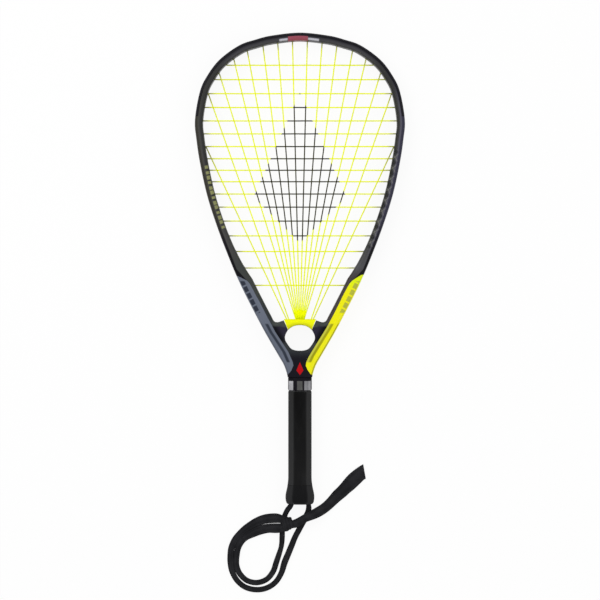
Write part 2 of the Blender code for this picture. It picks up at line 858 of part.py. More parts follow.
def build_pallet(name, direction, finish):
    top = NECK_Y - FIT
    step = SKIRT_TOP_Y + FIT
    block = sleeve_block(
        name,
        [
            (top, PALLET_WIDTH, PALLET_HEIGHT, PALLET_FACET),
            (step, PALLET_WIDTH, PALLET_HEIGHT, PALLET_FACET),
            (step, STEP_WIDTH, STEP_HEIGHT, STEP_FACET),
            (CORE_END_Y, STEP_WIDTH, STEP_HEIGHT, STEP_FACET),
        ],
    )
    pallet = part(name, block, finish)
    half = SHAFT_WIDTH / 2 + FIT, SHAFT_HEIGHT / 2 + FIT
    core = box(
        name + "_core",
        (-half[0], BUTT_Y, MID_Z - half[1]),
        (half[0], NECK_Y + REACH, MID_Z + half[1]),
    )
    cut(pallet, tool(name + "_core", core))
    keep_inside(pallet, tool(name + "_half", half_space(name + "_half", direction)))
    return pallet


def build_collar(finish):
    outer = [
        (NECK_Y - FIT, COLLAR_WIDTH, COLLAR_HEIGHT, GRIP_FACET),
        (GRIP_TOP_Y, COLLAR_WIDTH, COLLAR_HEIGHT, GRIP_FACET),
    ]
    collar = part("grip_collar", sleeve_block("grip_collar", outer), finish)
    cut(collar, pallet_clearance("collar_bore", GRIP_TOP_Y - REACH, NECK_Y + REACH))
    return collar


def pallet_clearance(name, low, high):
    """The room that a sleeve leaves for the pallets."""
    size = PALLET_WIDTH + 2 * FIT, PALLET_HEIGHT + 2 * FIT, PALLET_FACET
    return tool(name, sleeve_block(name, [(high, *size), (low, *size)]))


def build_grip(finish):
    size = GRIP_WIDTH, GRIP_HEIGHT, GRIP_FACET
    block = sleeve_block("grip", [(GRIP_TOP_Y - FIT, *size), (GRIP_END_Y + FIT, *size)])
    grip = part("grip", block, finish)
    cut(grip, pallet_clearance("grip_bore", BUTT_Y, NECK_Y))
    return grip


def build_cap(finish):
    widest = BUTT_Y + WIDEST_FROM_END
    stations = [
        (SKIRT_TOP_Y, PALLET_WIDTH, PALLET_HEIGHT, PALLET_FACET),
        (GRIP_END_Y, PALLET_WIDTH, PALLET_HEIGHT, PALLET_FACET),
        (GRIP_END_Y, GRIP_WIDTH, GRIP_HEIGHT, GRIP_FACET),
        (widest, BUTT_WIDTH, BUTT_HEIGHT, BUTT_FACET),
        (widest - WIDEST_LENGTH, BUTT_WIDTH, BUTT_HEIGHT, BUTT_FACET),
        (BUTT_Y + END_EDGE, END_WIDTH + 2 * END_EDGE, END_HEIGHT + 2 * END_EDGE, END_FACET),
        (BUTT_Y, END_WIDTH, END_HEIGHT, END_FACET),
    ]
    cap = part("butt_cap", sleeve_block("butt_cap", stations), finish)
    socket = STEP_WIDTH + 2 * FIT, STEP_HEIGHT + 2 * FIT, STEP_FACET
    pocket = sleeve_block(
        "cap_socket", [(SKIRT_TOP_Y + REACH, *socket), (CAP_FLOOR_Y + FIT, *socket)]
    )
    chamber = CHAMBER_WIDTH, CHAMBER_HEIGHT, PALLET_FACET
    hollow = sleeve_block("cap_chamber", [(CHAMBER_TOP_Y, *chamber), (CAP_FLOOR_Y, *chamber)])
    cut(cap, tool("cap_socket", pocket), tool("cap_chamber", hollow))
    lines = []
    for side in (-1, 1):
        x = side * LACE_SPACING / 2
        lines.append(((x, BUTT_Y - REACH, MID_Z), (x, CAP_FLOOR_Y + END_EDGE, MID_Z)))
    holes = rods("lace_holes", lines, LACE_HOLE_RADIUS, LACE_HOLE_SIDES)
    cut(cap, tool("lace_holes", holes))
    return cap


def staple_boxes(direction, growth):
    """The crown and the two legs of a staple, as the low and high corners of three boxes."""
    surface = PALLET_HEIGHT / 2
    half = STAPLE_WIDTH / 2 + growth
    wire = STAPLE_WIRE / 2 + growth
    y = GRIP_END_Y + CAP_SKIRT / 2
    top = surface if growth == 0 else surface + REACH
    shapes = [((-half, y - wire), (half, y + wire), surface - STAPLE_WIRE - growth, top)]
    for side in (-1, 1):
        x = side * (STAPLE_WIDTH - STAPLE_WIRE) / 2
        leg = surface - STAPLE_LEG - growth
        shapes.append(((x - wire, y - wire), (x + wire, y + wire), leg, surface - STAPLE_WIRE / 2))
    made = []
    for (x0, y0), (x1, y1), z0, z1 in shapes:
        low, high = sorted((MID_Z + direction * z0, MID_Z + direction * z1))
        made.append(((x0, y0, low), (x1, y1, high)))
    return made


def build_staple(name, direction, finish):
    crown, *legs = staple_boxes(direction, 0.0)
    staple = part(name, box(name, *crown), finish)
    for i, leg in enumerate(legs):
        join(staple, tool(f"{name}_leg_{i}", box(f"{name}_leg_{i}", *leg)))
    return staple


def cut_staple_slots(name, direction, *targets):
    for i, shape in enumerate(staple_boxes(direction, FIT)):
        slot = tool(f"{name}_slot_{i}", box(f"{name}_slot_{i}", *shape))
        for target in targets:
            cut(target, slot)


# Wrist lace

# Routes as x, distance past the butt end (down the page) and height, in metres
LEFT_ROUTE = [
    (-0.01015, -0.0040, MID_Z),
    (-0.01015, -0.0008, MID_Z),
    (-0.0105, 0.0012, 0.0132),
    (-0.0119, 0.0036, 0.0120),
    (-0.0139, 0.0062, 0.0098),
    (-0.0157, 0.0092, 0.0072),
    (-0.0172, 0.0125, 0.0049),
    (-0.0186, 0.0165, 0.0034),
    (-0.0197, 0.0210, 0.0029),
    (-0.0205, 0.0265, 0.0029),
    (-0.0210, 0.0330, 0.0029),
    (-0.0212, 0.0400, 0.0029),
    (-0.0216, 0.0475, 0.0029),
    (-0.0228, 0.0540, 0.0029),
    (-0.0254, 0.0622, 0.0029),
    (-0.0282, 0.0707, 0.0029),
    (-0.0320, 0.0815, 0.0029),
    (-0.0396, 0.0906, 0.0029),
    (-0.0510, 0.0946, 0.0029),
    (-0.0628, 0.0922, 0.0029),
    (-0.0712, 0.0846, 0.0029),
    (-0.0752, 0.0760, 0.0029),
    (-0.0760, 0.0690, 0.0029),
    (-0.0754, 0.0620, 0.0029),
    (-0.0744, 0.0555, 0.0029),
    (-0.0723, 0.0497, 0.0029),
    (-0.0690, 0.0444, 0.0029),
    (-0.0644, 0.0400, 0.0029),
    (-0.0580, 0.0365, 0.0029),
    (-0.0505, 0.0332, 0.0030),
    (-0.0435, 0.0309, 0.0036),
    (-0.0365, 0.0296, 0.0052),
    (-0.0295, 0.0294, 0.0072),
    (-0.0230, 0.0289, 0.0092),
    (-0.0172, 0.0266, 0.0098),
]
RIGHT_ROUTE = [
    (0.01015, -0.0040, MID_Z),
    (0.01015, -0.0008, MID_Z),
    (0.0104, 0.0020, 0.0131),
    (0.0105, 0.0050, 0.0110),
    (0.0102, 0.0080, 0.0080),
    (0.0094, 0.0112, 0.0050),
    (0.0080, 0.0145, 0.0034),
    (0.0063, 0.0180, 0.0030),
    (0.0034, 0.0232, 0.0029),
    (-0.0010, 0.0313, 0.0029),
    (-0.0057, 0.0402, 0.0029),
    (-0.0099, 0.0504, 0.0029),
    (-0.0136, 0.0594, 0.0029),
    (-0.0183, 0.0707, 0.0029),
    (-0.0222, 0.0832, 0.0029),
    (-0.0294, 0.0944, 0.0029),
    (-0.0402, 0.1012, 0.0029),
    (-0.0526, 0.1030, 0.0029),
    (-0.0652, 0.0999, 0.0029),
    (-0.0750, 0.0918, 0.0029),
    (-0.0808, 0.0810, 0.0029),
    (-0.0827, 0.0707, 0.0029),
    (-0.0827, 0.0625, 0.0029),
    (-0.0819, 0.0545, 0.0029),
    (-0.0798, 0.0484, 0.0029),
    (-0.0767, 0.0426, 0.0029),
    (-0.0720, 0.0370, 0.0029),
    (-0.0656, 0.0311, 0.0029),
    (-0.0585, 0.0263, 0.0029),
    (-0.0515, 0.0224, 0.0029),
    (-0.0435, 0.0193, 0.0038),
    (-0.0350, 0.0178, 0.0059),
    (-0.0265, 0.0175, 0.0090),
    (-0.0182, 0.0196, 0.0100),
]
# The tail's route also has its width and thickness
TAIL_ROUTE = [
    (-0.0124, 0.0242, 0.0094, 0.0070, 0.0042),
    (-0.0090, 0.0242, 0.0098, 0.0088, 0.0040),
    (-0.0054, 0.0235, 0.0104, 0.0094, 0.0037),
    (-0.0005, 0.0210, 0.0112, 0.0092, 0.0035),
    (0.0066, 0.0169, 0.0118, 0.0092, 0.0034),
    (0.0156, 0.0129, 0.0110, 0.0106, 0.0032),
    (0.0226, 0.0096, 0.0074, 0.0112, 0.0030),
    (0.0292, 0.0056, 0.0042, 0.0112, 0.0028),
    (0.0348, 0.0010, 0.0024, 0.0114, 0.0026),
    (0.0400, -0.0042, 0.0018, 0.0120, 0.0024),
    (0.0446, -0.0089, 0.0016, 0.0134, 0.0023),
    (0.0499, -0.0136, 0.0015, 0.0140, 0.0022),
    (0.0542, -0.0179, 0.0015, 0.0146, 0.0021),
    (0.0587, -0.0224, 0.0014, 0.0158, 0.0020),
    (0.0638, -0.0276, 0.0014, 0.0164, 0.0020),
    (0.0691, -0.0324, 0.0014, 0.0160, 0.0020),
    (0.0732, -0.0356, 0.0014, 0.0158, 0.0020),
    (0.0770, -0.0378, 0.0014, 0.0160, 0.0020),
]
KNOT_CENTRE = (-0.0138, 0.0236, 0.0072)
BEND_STRAIGHT = 0.001
BEND_STEPS = 12
TAIL_SIDES = 8


def placed(route):
    """A route's points in the racket's frame."""
    return [Vector((x, BUTT_Y - past, z)) for x, past, z, *_ in route]


def straight_end(points, gap):
    """The points, lengthened at the last one by a gap."""
    last = (points[-1] - points[-2]).normalized() * gap
    return [*points[:-1], points[-1] + last]


def build_inner_bend(finish):
    radius = LACE_SPACING / 2
    start = CAP_FLOOR_Y + FIT
    bend_y = start + BEND_STRAIGHT
    height = CHAMBER_TOP_Y - bend_y - LACE_DIAMETER / 2 - FIT
    points = [(-radius, start, MID_Z)]
    for i in range(BEND_STEPS + 1):
        angle = math.pi * (1 - i / BEND_STEPS)
        points.append((radius * math.cos(angle), bend_y + height * math.sin(angle), MID_Z))
    points.append((radius, start, MID_Z))
    mesh = tube("lace_inner_bend", points, LACE_DIAMETER / 2, 2)
    return part("lace_inner_bend", mesh, finish)


def build_lace(name, route, finish):
    mesh = tube(name, placed(route), LACE_DIAMETER / 2, 2)
    return part(name, mesh, finish)


def tail_rings(growth):
    points = placed(TAIL_ROUTE)
    rings = []
    for i, point in enumerate(points):
        ahead = points[min(i + 1, len(points) - 1)] - points[max(i - 1, 0)]
        across = Vector((-ahead.y, ahead.x, 0.0)).normalized()
        up = ahead.cross(across).normalized()
        width, thickness = (size / 2 + growth for size in TAIL_ROUTE[i][3:])
        ring = []
        for k in range(TAIL_SIDES):
            angle = 2 * math.pi * (k + 0.5) / TAIL_SIDES
            flat = math.cos(math.pi / TAIL_SIDES)
            side = across * width * math.cos(angle) / flat
            ring.append(point + side + up * thickness * math.sin(angle) / flat)
        rings.append(ring)
    return rings


def build_tail(finish):
    return part("lace_tail", loft("lace_tail", tail_rings(0.0)), finish)


def build_knot(finish):
    """The slip knot, with sockets where the lace goes into it and the left leg under it."""
    work = bmesh.new()
    size = Matrix.Diagonal((*KNOT_SIZE, 1.0))
    x, past, z = KNOT_CENTRE
    place = Matrix.Translation((x, BUTT_Y - past, z))
    bmesh.ops.create_uvsphere(
        work, u_segments=14, v_segments=9, radius=0.5, matrix=place @ size
    )
    mesh = bpy.data.meshes.new("lace_knot")
    work.to_mesh(mesh)
    work.free()
    knot = part("lace_knot", mesh, finish)
    radius = LACE_DIAMETER / 2 + FIT
    for name, route in (("left", LEFT_ROUTE), ("right", RIGHT_ROUTE)):
        points = placed(route)
        under = tube(name + "_under", points[:12], radius, 2)
        end = tube(name + "_socket", straight_end(points[-4:], FIT), radius, 2)
        if name == "left":
            cut(knot, tool(name + "_under", under))
        cut(knot, tool(name + "_socket", end))
    cut(knot, tool("tail_socket", loft("tail_socket", tail_rings(FIT))))
    return knot


def build_racket():
    graphite = material("graphite", (0.045, 0.045, 0.055), 0.42)
    nylon = material("nylon", (0.02, 0.02, 0.025), 0.5)
    yellow = material("yellow_nylon", (0.85, 0.80, 0.02), 0.4)
    string = material("string", (0.85, 0.95, 0.05), 0.35)
    foam = material("foam", (0.35, 0.35, 0.36), 0.9)
    rubber = material("rubber", (0.012, 0.012, 0.013), 0.7)
    cap_plastic = material("cap_plastic", (0.015, 0.015, 0.016), 0.5)
    band = material("collar_rubber", (0.03, 0.03, 0.032), 0.6)
    steel = material("staple_steel", (0.6, 0.6, 0.6), 0.35, 1.0)
    lace = material("lace", (0.02, 0.02, 0.022), 0.95)

    frame = build_frame(graphite)
    saddle = build_saddle(yellow)
    cut_bridge_holes(frame, saddle)
    build_bumper(nylon)
    build_strip("right_grommet_strip", 1, nylon)
    build_strip("left_grommet_strip", -1, nylon)
    build_main_string(string)
    build_cross_string(string)

    front = build_pallet("front_pallet", 1, foam)
    back = build_pallet("back_pallet", -1, foam)
    build_collar(band)
    build_grip(rubber)
    cap = build_cap(cap_plastic)
    for name, direction, pallet in (("front_staple", 1, front), ("back_staple", -1, back)):
        build_staple(name, direction, steel)
        cut_staple_slots(name, direction, cap, pallet)

    build_inner_bend(lace)
    build_lace("left_lace", LEFT_ROUTE, lace)
    build_lace("right_lace", RIGHT_ROUTE, lace)
    build_knot(lace)
    build_tail(lace)


build_racket()
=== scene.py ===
"""The looks of a racquetball racket that lies on its back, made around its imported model, in metres.

+Y runs from the butt to the tip of the head, +X is the right-hand side seen from the front, and +Z
is the front. The sections follow the racket as it is put together, after the camera, the studio
and the wrist lace.
"""

import math

import bmesh
import bpy
import numpy as np
from mathutils import Matrix, Vector


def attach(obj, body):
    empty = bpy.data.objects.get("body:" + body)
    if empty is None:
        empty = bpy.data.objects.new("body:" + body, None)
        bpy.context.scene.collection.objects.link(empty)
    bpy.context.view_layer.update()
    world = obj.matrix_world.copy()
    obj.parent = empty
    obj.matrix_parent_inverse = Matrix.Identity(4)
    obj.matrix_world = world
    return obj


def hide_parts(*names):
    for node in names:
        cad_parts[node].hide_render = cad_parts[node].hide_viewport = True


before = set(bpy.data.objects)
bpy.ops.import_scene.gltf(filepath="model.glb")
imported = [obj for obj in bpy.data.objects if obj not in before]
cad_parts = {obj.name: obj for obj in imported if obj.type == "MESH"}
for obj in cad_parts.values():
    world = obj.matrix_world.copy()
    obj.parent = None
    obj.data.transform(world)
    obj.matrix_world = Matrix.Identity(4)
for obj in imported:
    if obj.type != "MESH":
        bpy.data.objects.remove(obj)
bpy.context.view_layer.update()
scene = bpy.context.scene
scene.view_settings.view_transform = "Standard"

# Camera
# It hangs far above the racket and looks straight down, so the racket is seen from the front with
# hardly any perspective. The field is the width of the picture at the strings.

MID_Z = 0.0135
CAMERA_RANGE = 3.0
CAMERA_FIELD = 0.7122
CAMERA_AIM = (0.0001, -0.0373)

camera = bpy.data.objects.new("camera", bpy.data.cameras.new("camera"))
scene.collection.objects.link(camera)
scene.camera = camera
camera.data.sensor_width = 36.0
camera.data.lens = camera.data.sensor_width * CAMERA_RANGE / CAMERA_FIELD
camera.data.clip_end = 50.0
camera.location = (*CAMERA_AIM, MID_Z + CAMERA_RANGE)

# Studio
# A white floor that fades into a white room. The camera sees it nearly white by itself, so the
# lamps stay at a plain level, and the racket's soft shadow still falls on it.


def sum_method(operation, turned=False):
    """A method of Wire for one kind of sum. When it is turned, the other value comes first."""

    def method(self, *others):
        values = (*others, self) if turned else (self, *others)
        return self.node("Math", {"operation": operation}, dict(enumerate(values)))

    return method


class Wire:
    """A socket of a material's nodes, which can be used in sums as a number can."""

    __add__ = __radd__ = sum_method("ADD")
    __mul__ = __rmul__ = sum_method("MULTIPLY")
    __sub__ = sum_method("SUBTRACT")
    __rsub__ = sum_method("SUBTRACT", turned=True)
    __truediv__ = sum_method("DIVIDE")
    __abs__ = sum_method("ABSOLUTE")
    least = sum_method("MINIMUM")
    most = sum_method("MAXIMUM")
    sine = sum_method("SINE")

    def __init__(self, socket):
        self.socket = socket

    def node(self, kind, settings=None, inputs=None, output=0):
        """The output of a new node in this wire's material."""
        made = self.socket.id_data.nodes.new("ShaderNode" + kind)
        for name, value in (settings or {}).items():
            setattr(made, name, value)
        for name, value in (inputs or {}).items():
            feed(made.inputs[name], value)
        return Wire(made.outputs[output])

    def rise(self, low, high):
        """From 0 to 1 as this goes from the low value to the high one."""
        settings = {"interpolation_type": "SMOOTHSTEP"}
        return self.node("MapRange", settings, {"Value": self, "From Min": low, "From Max": high})

    def between(self, low, high, soft):
        """1 from the low value to the high one, with soft edges."""
        return self.rise(low - soft, low + soft) * (1 - self.rise(high - soft, high + soft))

    def blend(self, off, on):
        """A colour that goes from off to on as this goes from 0 to 1."""
        return self.node("Mix", {"data_type": "RGBA"}, {0: self, 6: off, 7: on}, 2)

    def wave(self, pitch):
        """A sine wave along this, which starts again at each pitch."""
        return (self * (2 * math.pi / pitch)).sine()

    def follow(self, stops):
        """A number that goes straight from stop to stop. A stop is a place and a number."""
        made = self.node("ValToRGB", None, {0: self})
        elements = made.socket.node.color_ramp.elements
        elements.remove(elements[-1])
        for i, (position, number) in enumerate(stops):
            element = elements.new(position) if i else elements[0]
            element.position = position
            element.color = (number, number, number, 1.0)
        return made

    def bump(self, distance, strength):
        inputs = {"Height": self, "Distance": distance, "Strength": strength}
        return self.node("Bump", None, inputs)

    def split(self):
        return [self.node("SeparateXYZ", None, {0: self}, i) for i in range(3)]

    def noise(self, scale, detail=2.0, stretch=(1.0, 1.0, 1.0)):
        """Noise in this place, finer at a greater scale."""
        place = self.node("Mapping", None, {"Vector": self, "Scale": stretch})
        return place.node("TexNoise", None, {"Vector": place, "Scale": scale, "Detail": detail})

    def mark(self, name):
        """The number that the mesh holds at each place under this name."""
        return self.node("Attribute", {"attribute_name": name}, None, 2)


def feed(socket, value):
    """Links a wire to a socket, or sets the socket to a number or colour."""
    if isinstance(value, Wire):
        socket.id_data.links.new(value.socket, socket)
    elif isinstance(value, tuple) and len(socket.default_value) == 4:
        socket.default_value = (*value[:3], 1.0)
    else:
        socket.default_value = value


def paint(finish, **values):
    """Sets values of a material's shader, or links what changes over the surface to them."""
    for socket, value in values.items():
        feed(finish.node_tree.nodes["Principled BSDF"].inputs[socket.replace("_", " ")], value)


def new_finish(name, **even):
    """A material, with the values that are even all over it, and the place on the piece."""
    made = bpy.data.materials.new(name)
    made.use_nodes = True
    paint(made, **even)
    return made, Wire(made.node_tree.nodes.new("ShaderNodeTexCoord").outputs["Object"])


def added(name, mesh):
    made = bpy.data.objects.new(name, mesh)
    scene.collection.objects.link(made)
    return made


FLOOR_SIZE = 6.0
FLOOR_COLOUR = (0.92, 0.92, 0.92)
FLOOR_GLOW = 0.92
ROOM_LIGHT = 0.6

work = bmesh.new()
bmesh.ops.create_grid(work, x_segments=1, y_segments=1, size=FLOOR_SIZE / 2)
floor_mesh = bpy.data.meshes.new("floor")
work.to_mesh(floor_mesh)
work.free()
floor = added("floor", floor_mesh)

floor_paint, place = new_finish("floor_paint", Base_Color=FLOOR_COLOUR, Roughness=1.0)
floor_nodes = floor_paint.node_tree.nodes
seen = floor_nodes.new("ShaderNodeLightPath")
rays = [Wire(seen.outputs[f"Is {kind} Ray"]) for kind in ("Camera", "Glossy", "Transmission")]
direct = rays[0].most(rays[1]).most(rays[2])
glow = floor_nodes.new("ShaderNodeEmission")
mixed = floor_nodes.new("ShaderNodeMixShader")
feed(mixed.inputs["Fac"], direct * FLOOR_GLOW)
feed(mixed.inputs[1], Wire(floor_nodes["Principled BSDF"].outputs[0]))
feed(mixed.inputs[2], Wire(glow.outputs[0]))
feed(floor_nodes["Material Output"].inputs["Surface"], Wire(mixed.outputs[0]))
floor_mesh.materials.append(floor_paint)

world = bpy.data.worlds.new("room")
scene.world = world
world.use_nodes = True
room = world.node_tree.nodes["Background"]
seen = world.node_tree.nodes.new("ShaderNodeLightPath")
rays = [Wire(seen.outputs[f"Is {kind} Ray"]) for kind in ("Camera", "Transmission")]
direct = rays[0].most(rays[1])
feed(room.inputs["Color"], (1.0, 1.0, 1.0))
feed(room.inputs["Strength"], ROOM_LIGHT + direct * (1.0 - ROOM_LIGHT))

for name, power, side, where in (
    ("key_lamp", 15.5, 1.2, (-0.9, 0.7, 1.7)),
    ("fill_lamp", 8.0, 1.6, (1.2, -0.3, 1.6)),
):
    lamp = bpy.data.lights.new(name, "AREA")
    lamp.energy = power
    lamp.size = side
    lamp_holder = added(name, lamp)
    lamp_holder.location = where
    lamp_holder.rotation_euler = Vector(where).to_track_quat("Z", "Y").to_euler()

# Wrist lace
# One flat woven lace of black polyester. Both legs leave the butt, cross the floor, turn round in
# two nested loops and come back as two straps into the slip knot.

BUTT_Y = -0.2794
LACE_HEIGHT_DROP = 0.0007
LACE_WIDTH = 0.0066
LACE_THICKNESS = 0.0042
LACE_STEPS = 6
LACE_SIDES = 20
LACE_HALF_SPACING = 0.01015

# Routes in millimetres, as x, distance past the butt end, height and width
LEFT_ROUTE = [
    (-10.15, -4, 13.5, 5.8), (-10.15, -0.8, 13.5, 6), (-10.5, 1.2, 13.2, 6), (-11.9, 3.6, 12, 6.3),
    (-13.9, 6.2, 9.8, 6.3), (-15.7, 9.2, 7.2, 6.3), (-17.2, 12.5, 4.9, 6.3),
    (-18.6, 16.5, 3.4, 6.6), (-19.7, 21, 2.9, 6.5), (-20.5, 26.5, 2.9, 6.5), (-21, 33, 2.9, 6.5),
    (-21.2, 40, 2.9, 6.6), (-21.6, 47.5, 2.9, 6.3), (-22.8, 54, 2.9, 6), (-25.4, 62.2, 2.9, 6.6),
    (-28.2, 70.7, 2.9, 7), (-32, 81.5, 2.9, 6.8), (-39.6, 90.6, 2.9, 6.6), (-51, 94.6, 2.9, 6.6),
    (-62.8, 92.2, 2.9, 6.6), (-71.2, 84.6, 2.9, 6.8), (-75.2, 76, 2.9, 7.1), (-76, 69, 2.9, 7.3),
    (-75.4, 62, 2.9, 7.4), (-74.4, 55.5, 2.9, 7.5), (-72.3, 49.7, 2.9, 7.8), (-69, 44.4, 2.9, 8.2),
    (-64.4, 40, 2.9, 8.8), (-58, 36.5, 2.9, 10), (-50.5, 33.2, 3, 10.8), (-43.5, 30.9, 3.6, 11.2),
    (-36.5, 29.6, 5.2, 11.1), (-29.5, 29.4, 7.2, 11.6), (-23, 28.9, 9.2, 11), (-17.2, 26.6, 9.8, 8),
]
RIGHT_ROUTE = [
    (10.15, -4, 13.5, 5.8), (10.15, -0.8, 13.5, 6), (10.4, 2, 13.1, 6), (10.5, 5, 11, 6.7),
    (10.2, 8, 8, 6.9), (9.4, 11.2, 5, 7.2), (8, 14.5, 3.4, 7.4), (6.3, 18, 3, 7.4),
    (3.4, 23.2, 2.9, 7), (-1, 31.3, 2.9, 7), (-5.7, 40.2, 2.9, 7), (-9.9, 50.4, 2.9, 7.3),
    (-13.6, 59.4, 2.9, 7.5), (-18.3, 70.7, 2.9, 7.7), (-22.2, 83.2, 2.9, 6.8),
    (-29.4, 94.4, 2.9, 6.6), (-40.2, 101.2, 2.9, 6.6), (-52.6, 103, 2.9, 6.6),
    (-65.2, 99.9, 2.9, 6.6), (-75, 91.8, 2.9, 6.6), (-80.8, 81, 2.9, 6.9), (-82.7, 70.7, 2.9, 7.3),
    (-82.7, 62.5, 2.9, 7.5), (-81.9, 54.5, 2.9, 7.6), (-79.8, 48.4, 2.9, 7.8),
    (-76.7, 42.6, 2.9, 7.9), (-72, 37, 2.9, 8.1), (-65.6, 31.1, 2.9, 8.7), (-58.5, 26.3, 2.9, 9.6),
    (-51.5, 22.4, 2.9, 10.4), (-43.5, 19.3, 3.8, 11.2), (-35, 17.8, 5.9, 11.6),
    (-26.5, 17.5, 9, 11.2), (-18.2, 19.6, 10, 8),
]


def smooth_line(points, steps):
    """Places along a smooth curve through all of the points."""
    points = np.array(points, float)
    padded = np.vstack([2 * points[0] - points[1], points, 2 * points[-1] - points[-2]])
    a, b, c, d = padded[:-3], padded[1:-2], padded[2:-1], padded[3:]
    parts = []
    for t in np.arange(steps) / steps:
        even = 2 * b + (c - a) * t + (2 * a - 5 * b + 4 * c - d) * t**2
        parts.append((even + (3 * b - a - 3 * c + d) * t**3) / 2)
    made = np.stack(parts, axis=1).reshape(-1, points.shape[1])
    return np.vstack([made, points[-1]])


def unit(vectors):
    return vectors / np.linalg.norm(vectors, axis=-1, keepdims=True)


def rings_round(path, widths, thicknesses, sides, across=None, squareness=1.0):
    """Rings round a path, oval or nearly flat, with the wide way level or turned another way."""
    ahead = unit(np.gradient(path, axis=0))
    if across is None:
        side = unit(np.cross(ahead, (0.0, 0.0, 1.0)))
    else:
        side = unit(across - np.sum(across * ahead, axis=1, keepdims=True) * ahead)
    up = np.cross(side, ahead)
    angles = 2 * np.pi * (np.arange(sides) + 0.5) / sides
    wide = np.sign(np.cos(angles)) * np.abs(np.cos(angles)) ** squareness
    high = np.sign(np.sin(angles)) * np.abs(np.sin(angles)) ** squareness
    widths = np.broadcast_to(widths, len(path)) / 2
    thicknesses = np.broadcast_to(thicknesses, len(path)) / 2
    return (
        path[:, None]
        + side[:, None] * (widths[:, None] * wide)[..., None]
        + up[:, None] * (thicknesses[:, None] * high)[..., None]
    )


def skinned(name, rings, marks=None, trim=None):
    """A closed skin over rings of places: each row of a flat grid is moved to a ring.

    Marks are named numbers, one for each place, that a material can read. The map's u runs along
    the rings and its v round them. Trim takes faces away before the ends are closed.
    """
    rings = np.asarray(rings, float)
    rows, columns = rings.shape[:2]
    work = bmesh.new()
    work.loops.layers.uv.new("map")
    layers = {mark: work.verts.layers.float.new(mark) for mark in (marks or {})}
    bmesh.ops.create_grid(work, x_segments=rows - 1, y_segments=columns, size=0.5, calc_uvs=True)
    for vertex in work.verts:
        row = round((vertex.co.x + 0.5) * (rows - 1))
        column = round((vertex.co.y + 0.5) * columns) % columns
        vertex.co = rings[row, column]
        for mark, layer in layers.items():
            vertex[layer] = marks[mark][row][column]
    bmesh.ops.remove_doubles(work, verts=work.verts, dist=1e-7)
    if trim:
        trim(work)
    rims = [edge for edge in work.edges if edge.is_boundary]
    bmesh.ops.edgeloop_fill(work, edges=rims)
    bmesh.ops.recalc_face_normals(work, faces=work.faces)
    return finished_mesh(name, work)


CREASE = math.radians(38)


def finished_mesh(name, work):
    """The mesh of a bmesh, shaded smooth up to its creases."""
    mesh = bpy.data.meshes.new(name)
    for face in work.faces:
        face.smooth = True
    work.to_mesh(mesh)
    work.free()
    mesh.set_sharp_from_angle(angle=CREASE)
    return mesh


def add_piece(mesh, finish, node):
    """Adds a piece that has its mesh's name, rides on the racket and stands for a CAD node."""
    mesh.materials.append(finish)
    piece = added(mesh.name, mesh)
    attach(piece, "root")
    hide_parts(node)
    return piece


def line_length(path):
    return float(np.linalg.norm(np.diff(path, axis=0), axis=1).sum())


LACE_COLOUR = (0.0105, 0.0105, 0.012)
LACE_PALE_AND_HIGHLIGHT = (0.025, 0.025, 0.028)
BRAID_PITCH = 0.0026
BRAID_STRANDS = 4


def lace_finish(name, length):
    """A braid of strands that cross at a slant, on the piece's own map."""
    made, place = new_finish(name, Roughness=0.92, Specular_IOR_Level=0.06, Sheen_Weight=0.01)
    u, v = place.node("UVMap", {"uv_map": "map"}).split()[:2]
    along = u * (2 * math.pi * length / BRAID_PITCH)
    around = v * (2 * math.pi * BRAID_STRANDS)
    over = (along + around).sine() * (along - around).sine()
    thread = (around * 4 + along * 2).sine()
    height = over * 0.5 + thread * 0.12 + place.noise(2600.0) * 0.5
    # Paler on the braid's raised strands, as a painted highlight, and in random cloudy patches
    shade = over.rise(-0.9, 0.9) * 0.5 + place.noise(90.0, 3.0).rise(0.35, 0.7) * 0.5
    paint(made, Base_Color=shade.blend(LACE_COLOUR, LACE_PALE_AND_HIGHLIGHT), Normal=height.bump(0.0003, 0.7))
    return made


def lace_path(route):
    """A route's places, and the other values that it holds for each."""
    fine = smooth_line(route, LACE_STEPS) / 1000
    return np.column_stack([fine[:, 0], BUTT_Y - fine[:, 1], fine[:, 2]]), fine[:, 3:].T


laces = {}
for name, route in (("left_lace", LEFT_ROUTE), ("right_lace", RIGHT_ROUTE)):
    path, (widths,) = lace_path(route)
    path -= (0.0, 0.0, LACE_HEIGHT_DROP)
    thicknesses = LACE_THICKNESS * np.minimum(1.0, LACE_WIDTH / widths) ** 0.5
    rings = rings_round(path, widths, thicknesses, LACE_SIDES, squareness=0.75)
    finish = lace_finish(name + "_weave", line_length(path))
    laces[name] = add_piece(skinned(name + "_woven", rings), finish, name), path

# Lace inside the cap
# The same lace turns round inside the butt cap, so that its two legs leave it side by side.

BEND_RISE = 0.0076
BEND_SIZE = (0.0052, 0.0046)
BEND_INSET = 0.0043
BEND_LEAD = 0.001
BEND_STEPS = 19
bend_start = BUTT_Y + BEND_INSET
bend = [(-LACE_HALF_SPACING, bend_start, MID_Z)]
for angle in np.linspace(math.pi, 0.0, BEND_STEPS):
    y = bend_start + BEND_LEAD + BEND_RISE * math.sin(angle)
    bend.append((LACE_HALF_SPACING * math.cos(angle), y, MID_Z))
bend = np.array([*bend, (LACE_HALF_SPACING, bend_start, MID_Z)])
add_piece(
    skinned("lace_bend_woven", rings_round(bend, *BEND_SIZE, LACE_SIDES)),
    lace_finish("lace_bend_weave", line_length(bend)),
    "lace_inner_bend",
)

# Slip knot
# The end of the lace is wound round both straps and drawn tight, and one strand lies across it.

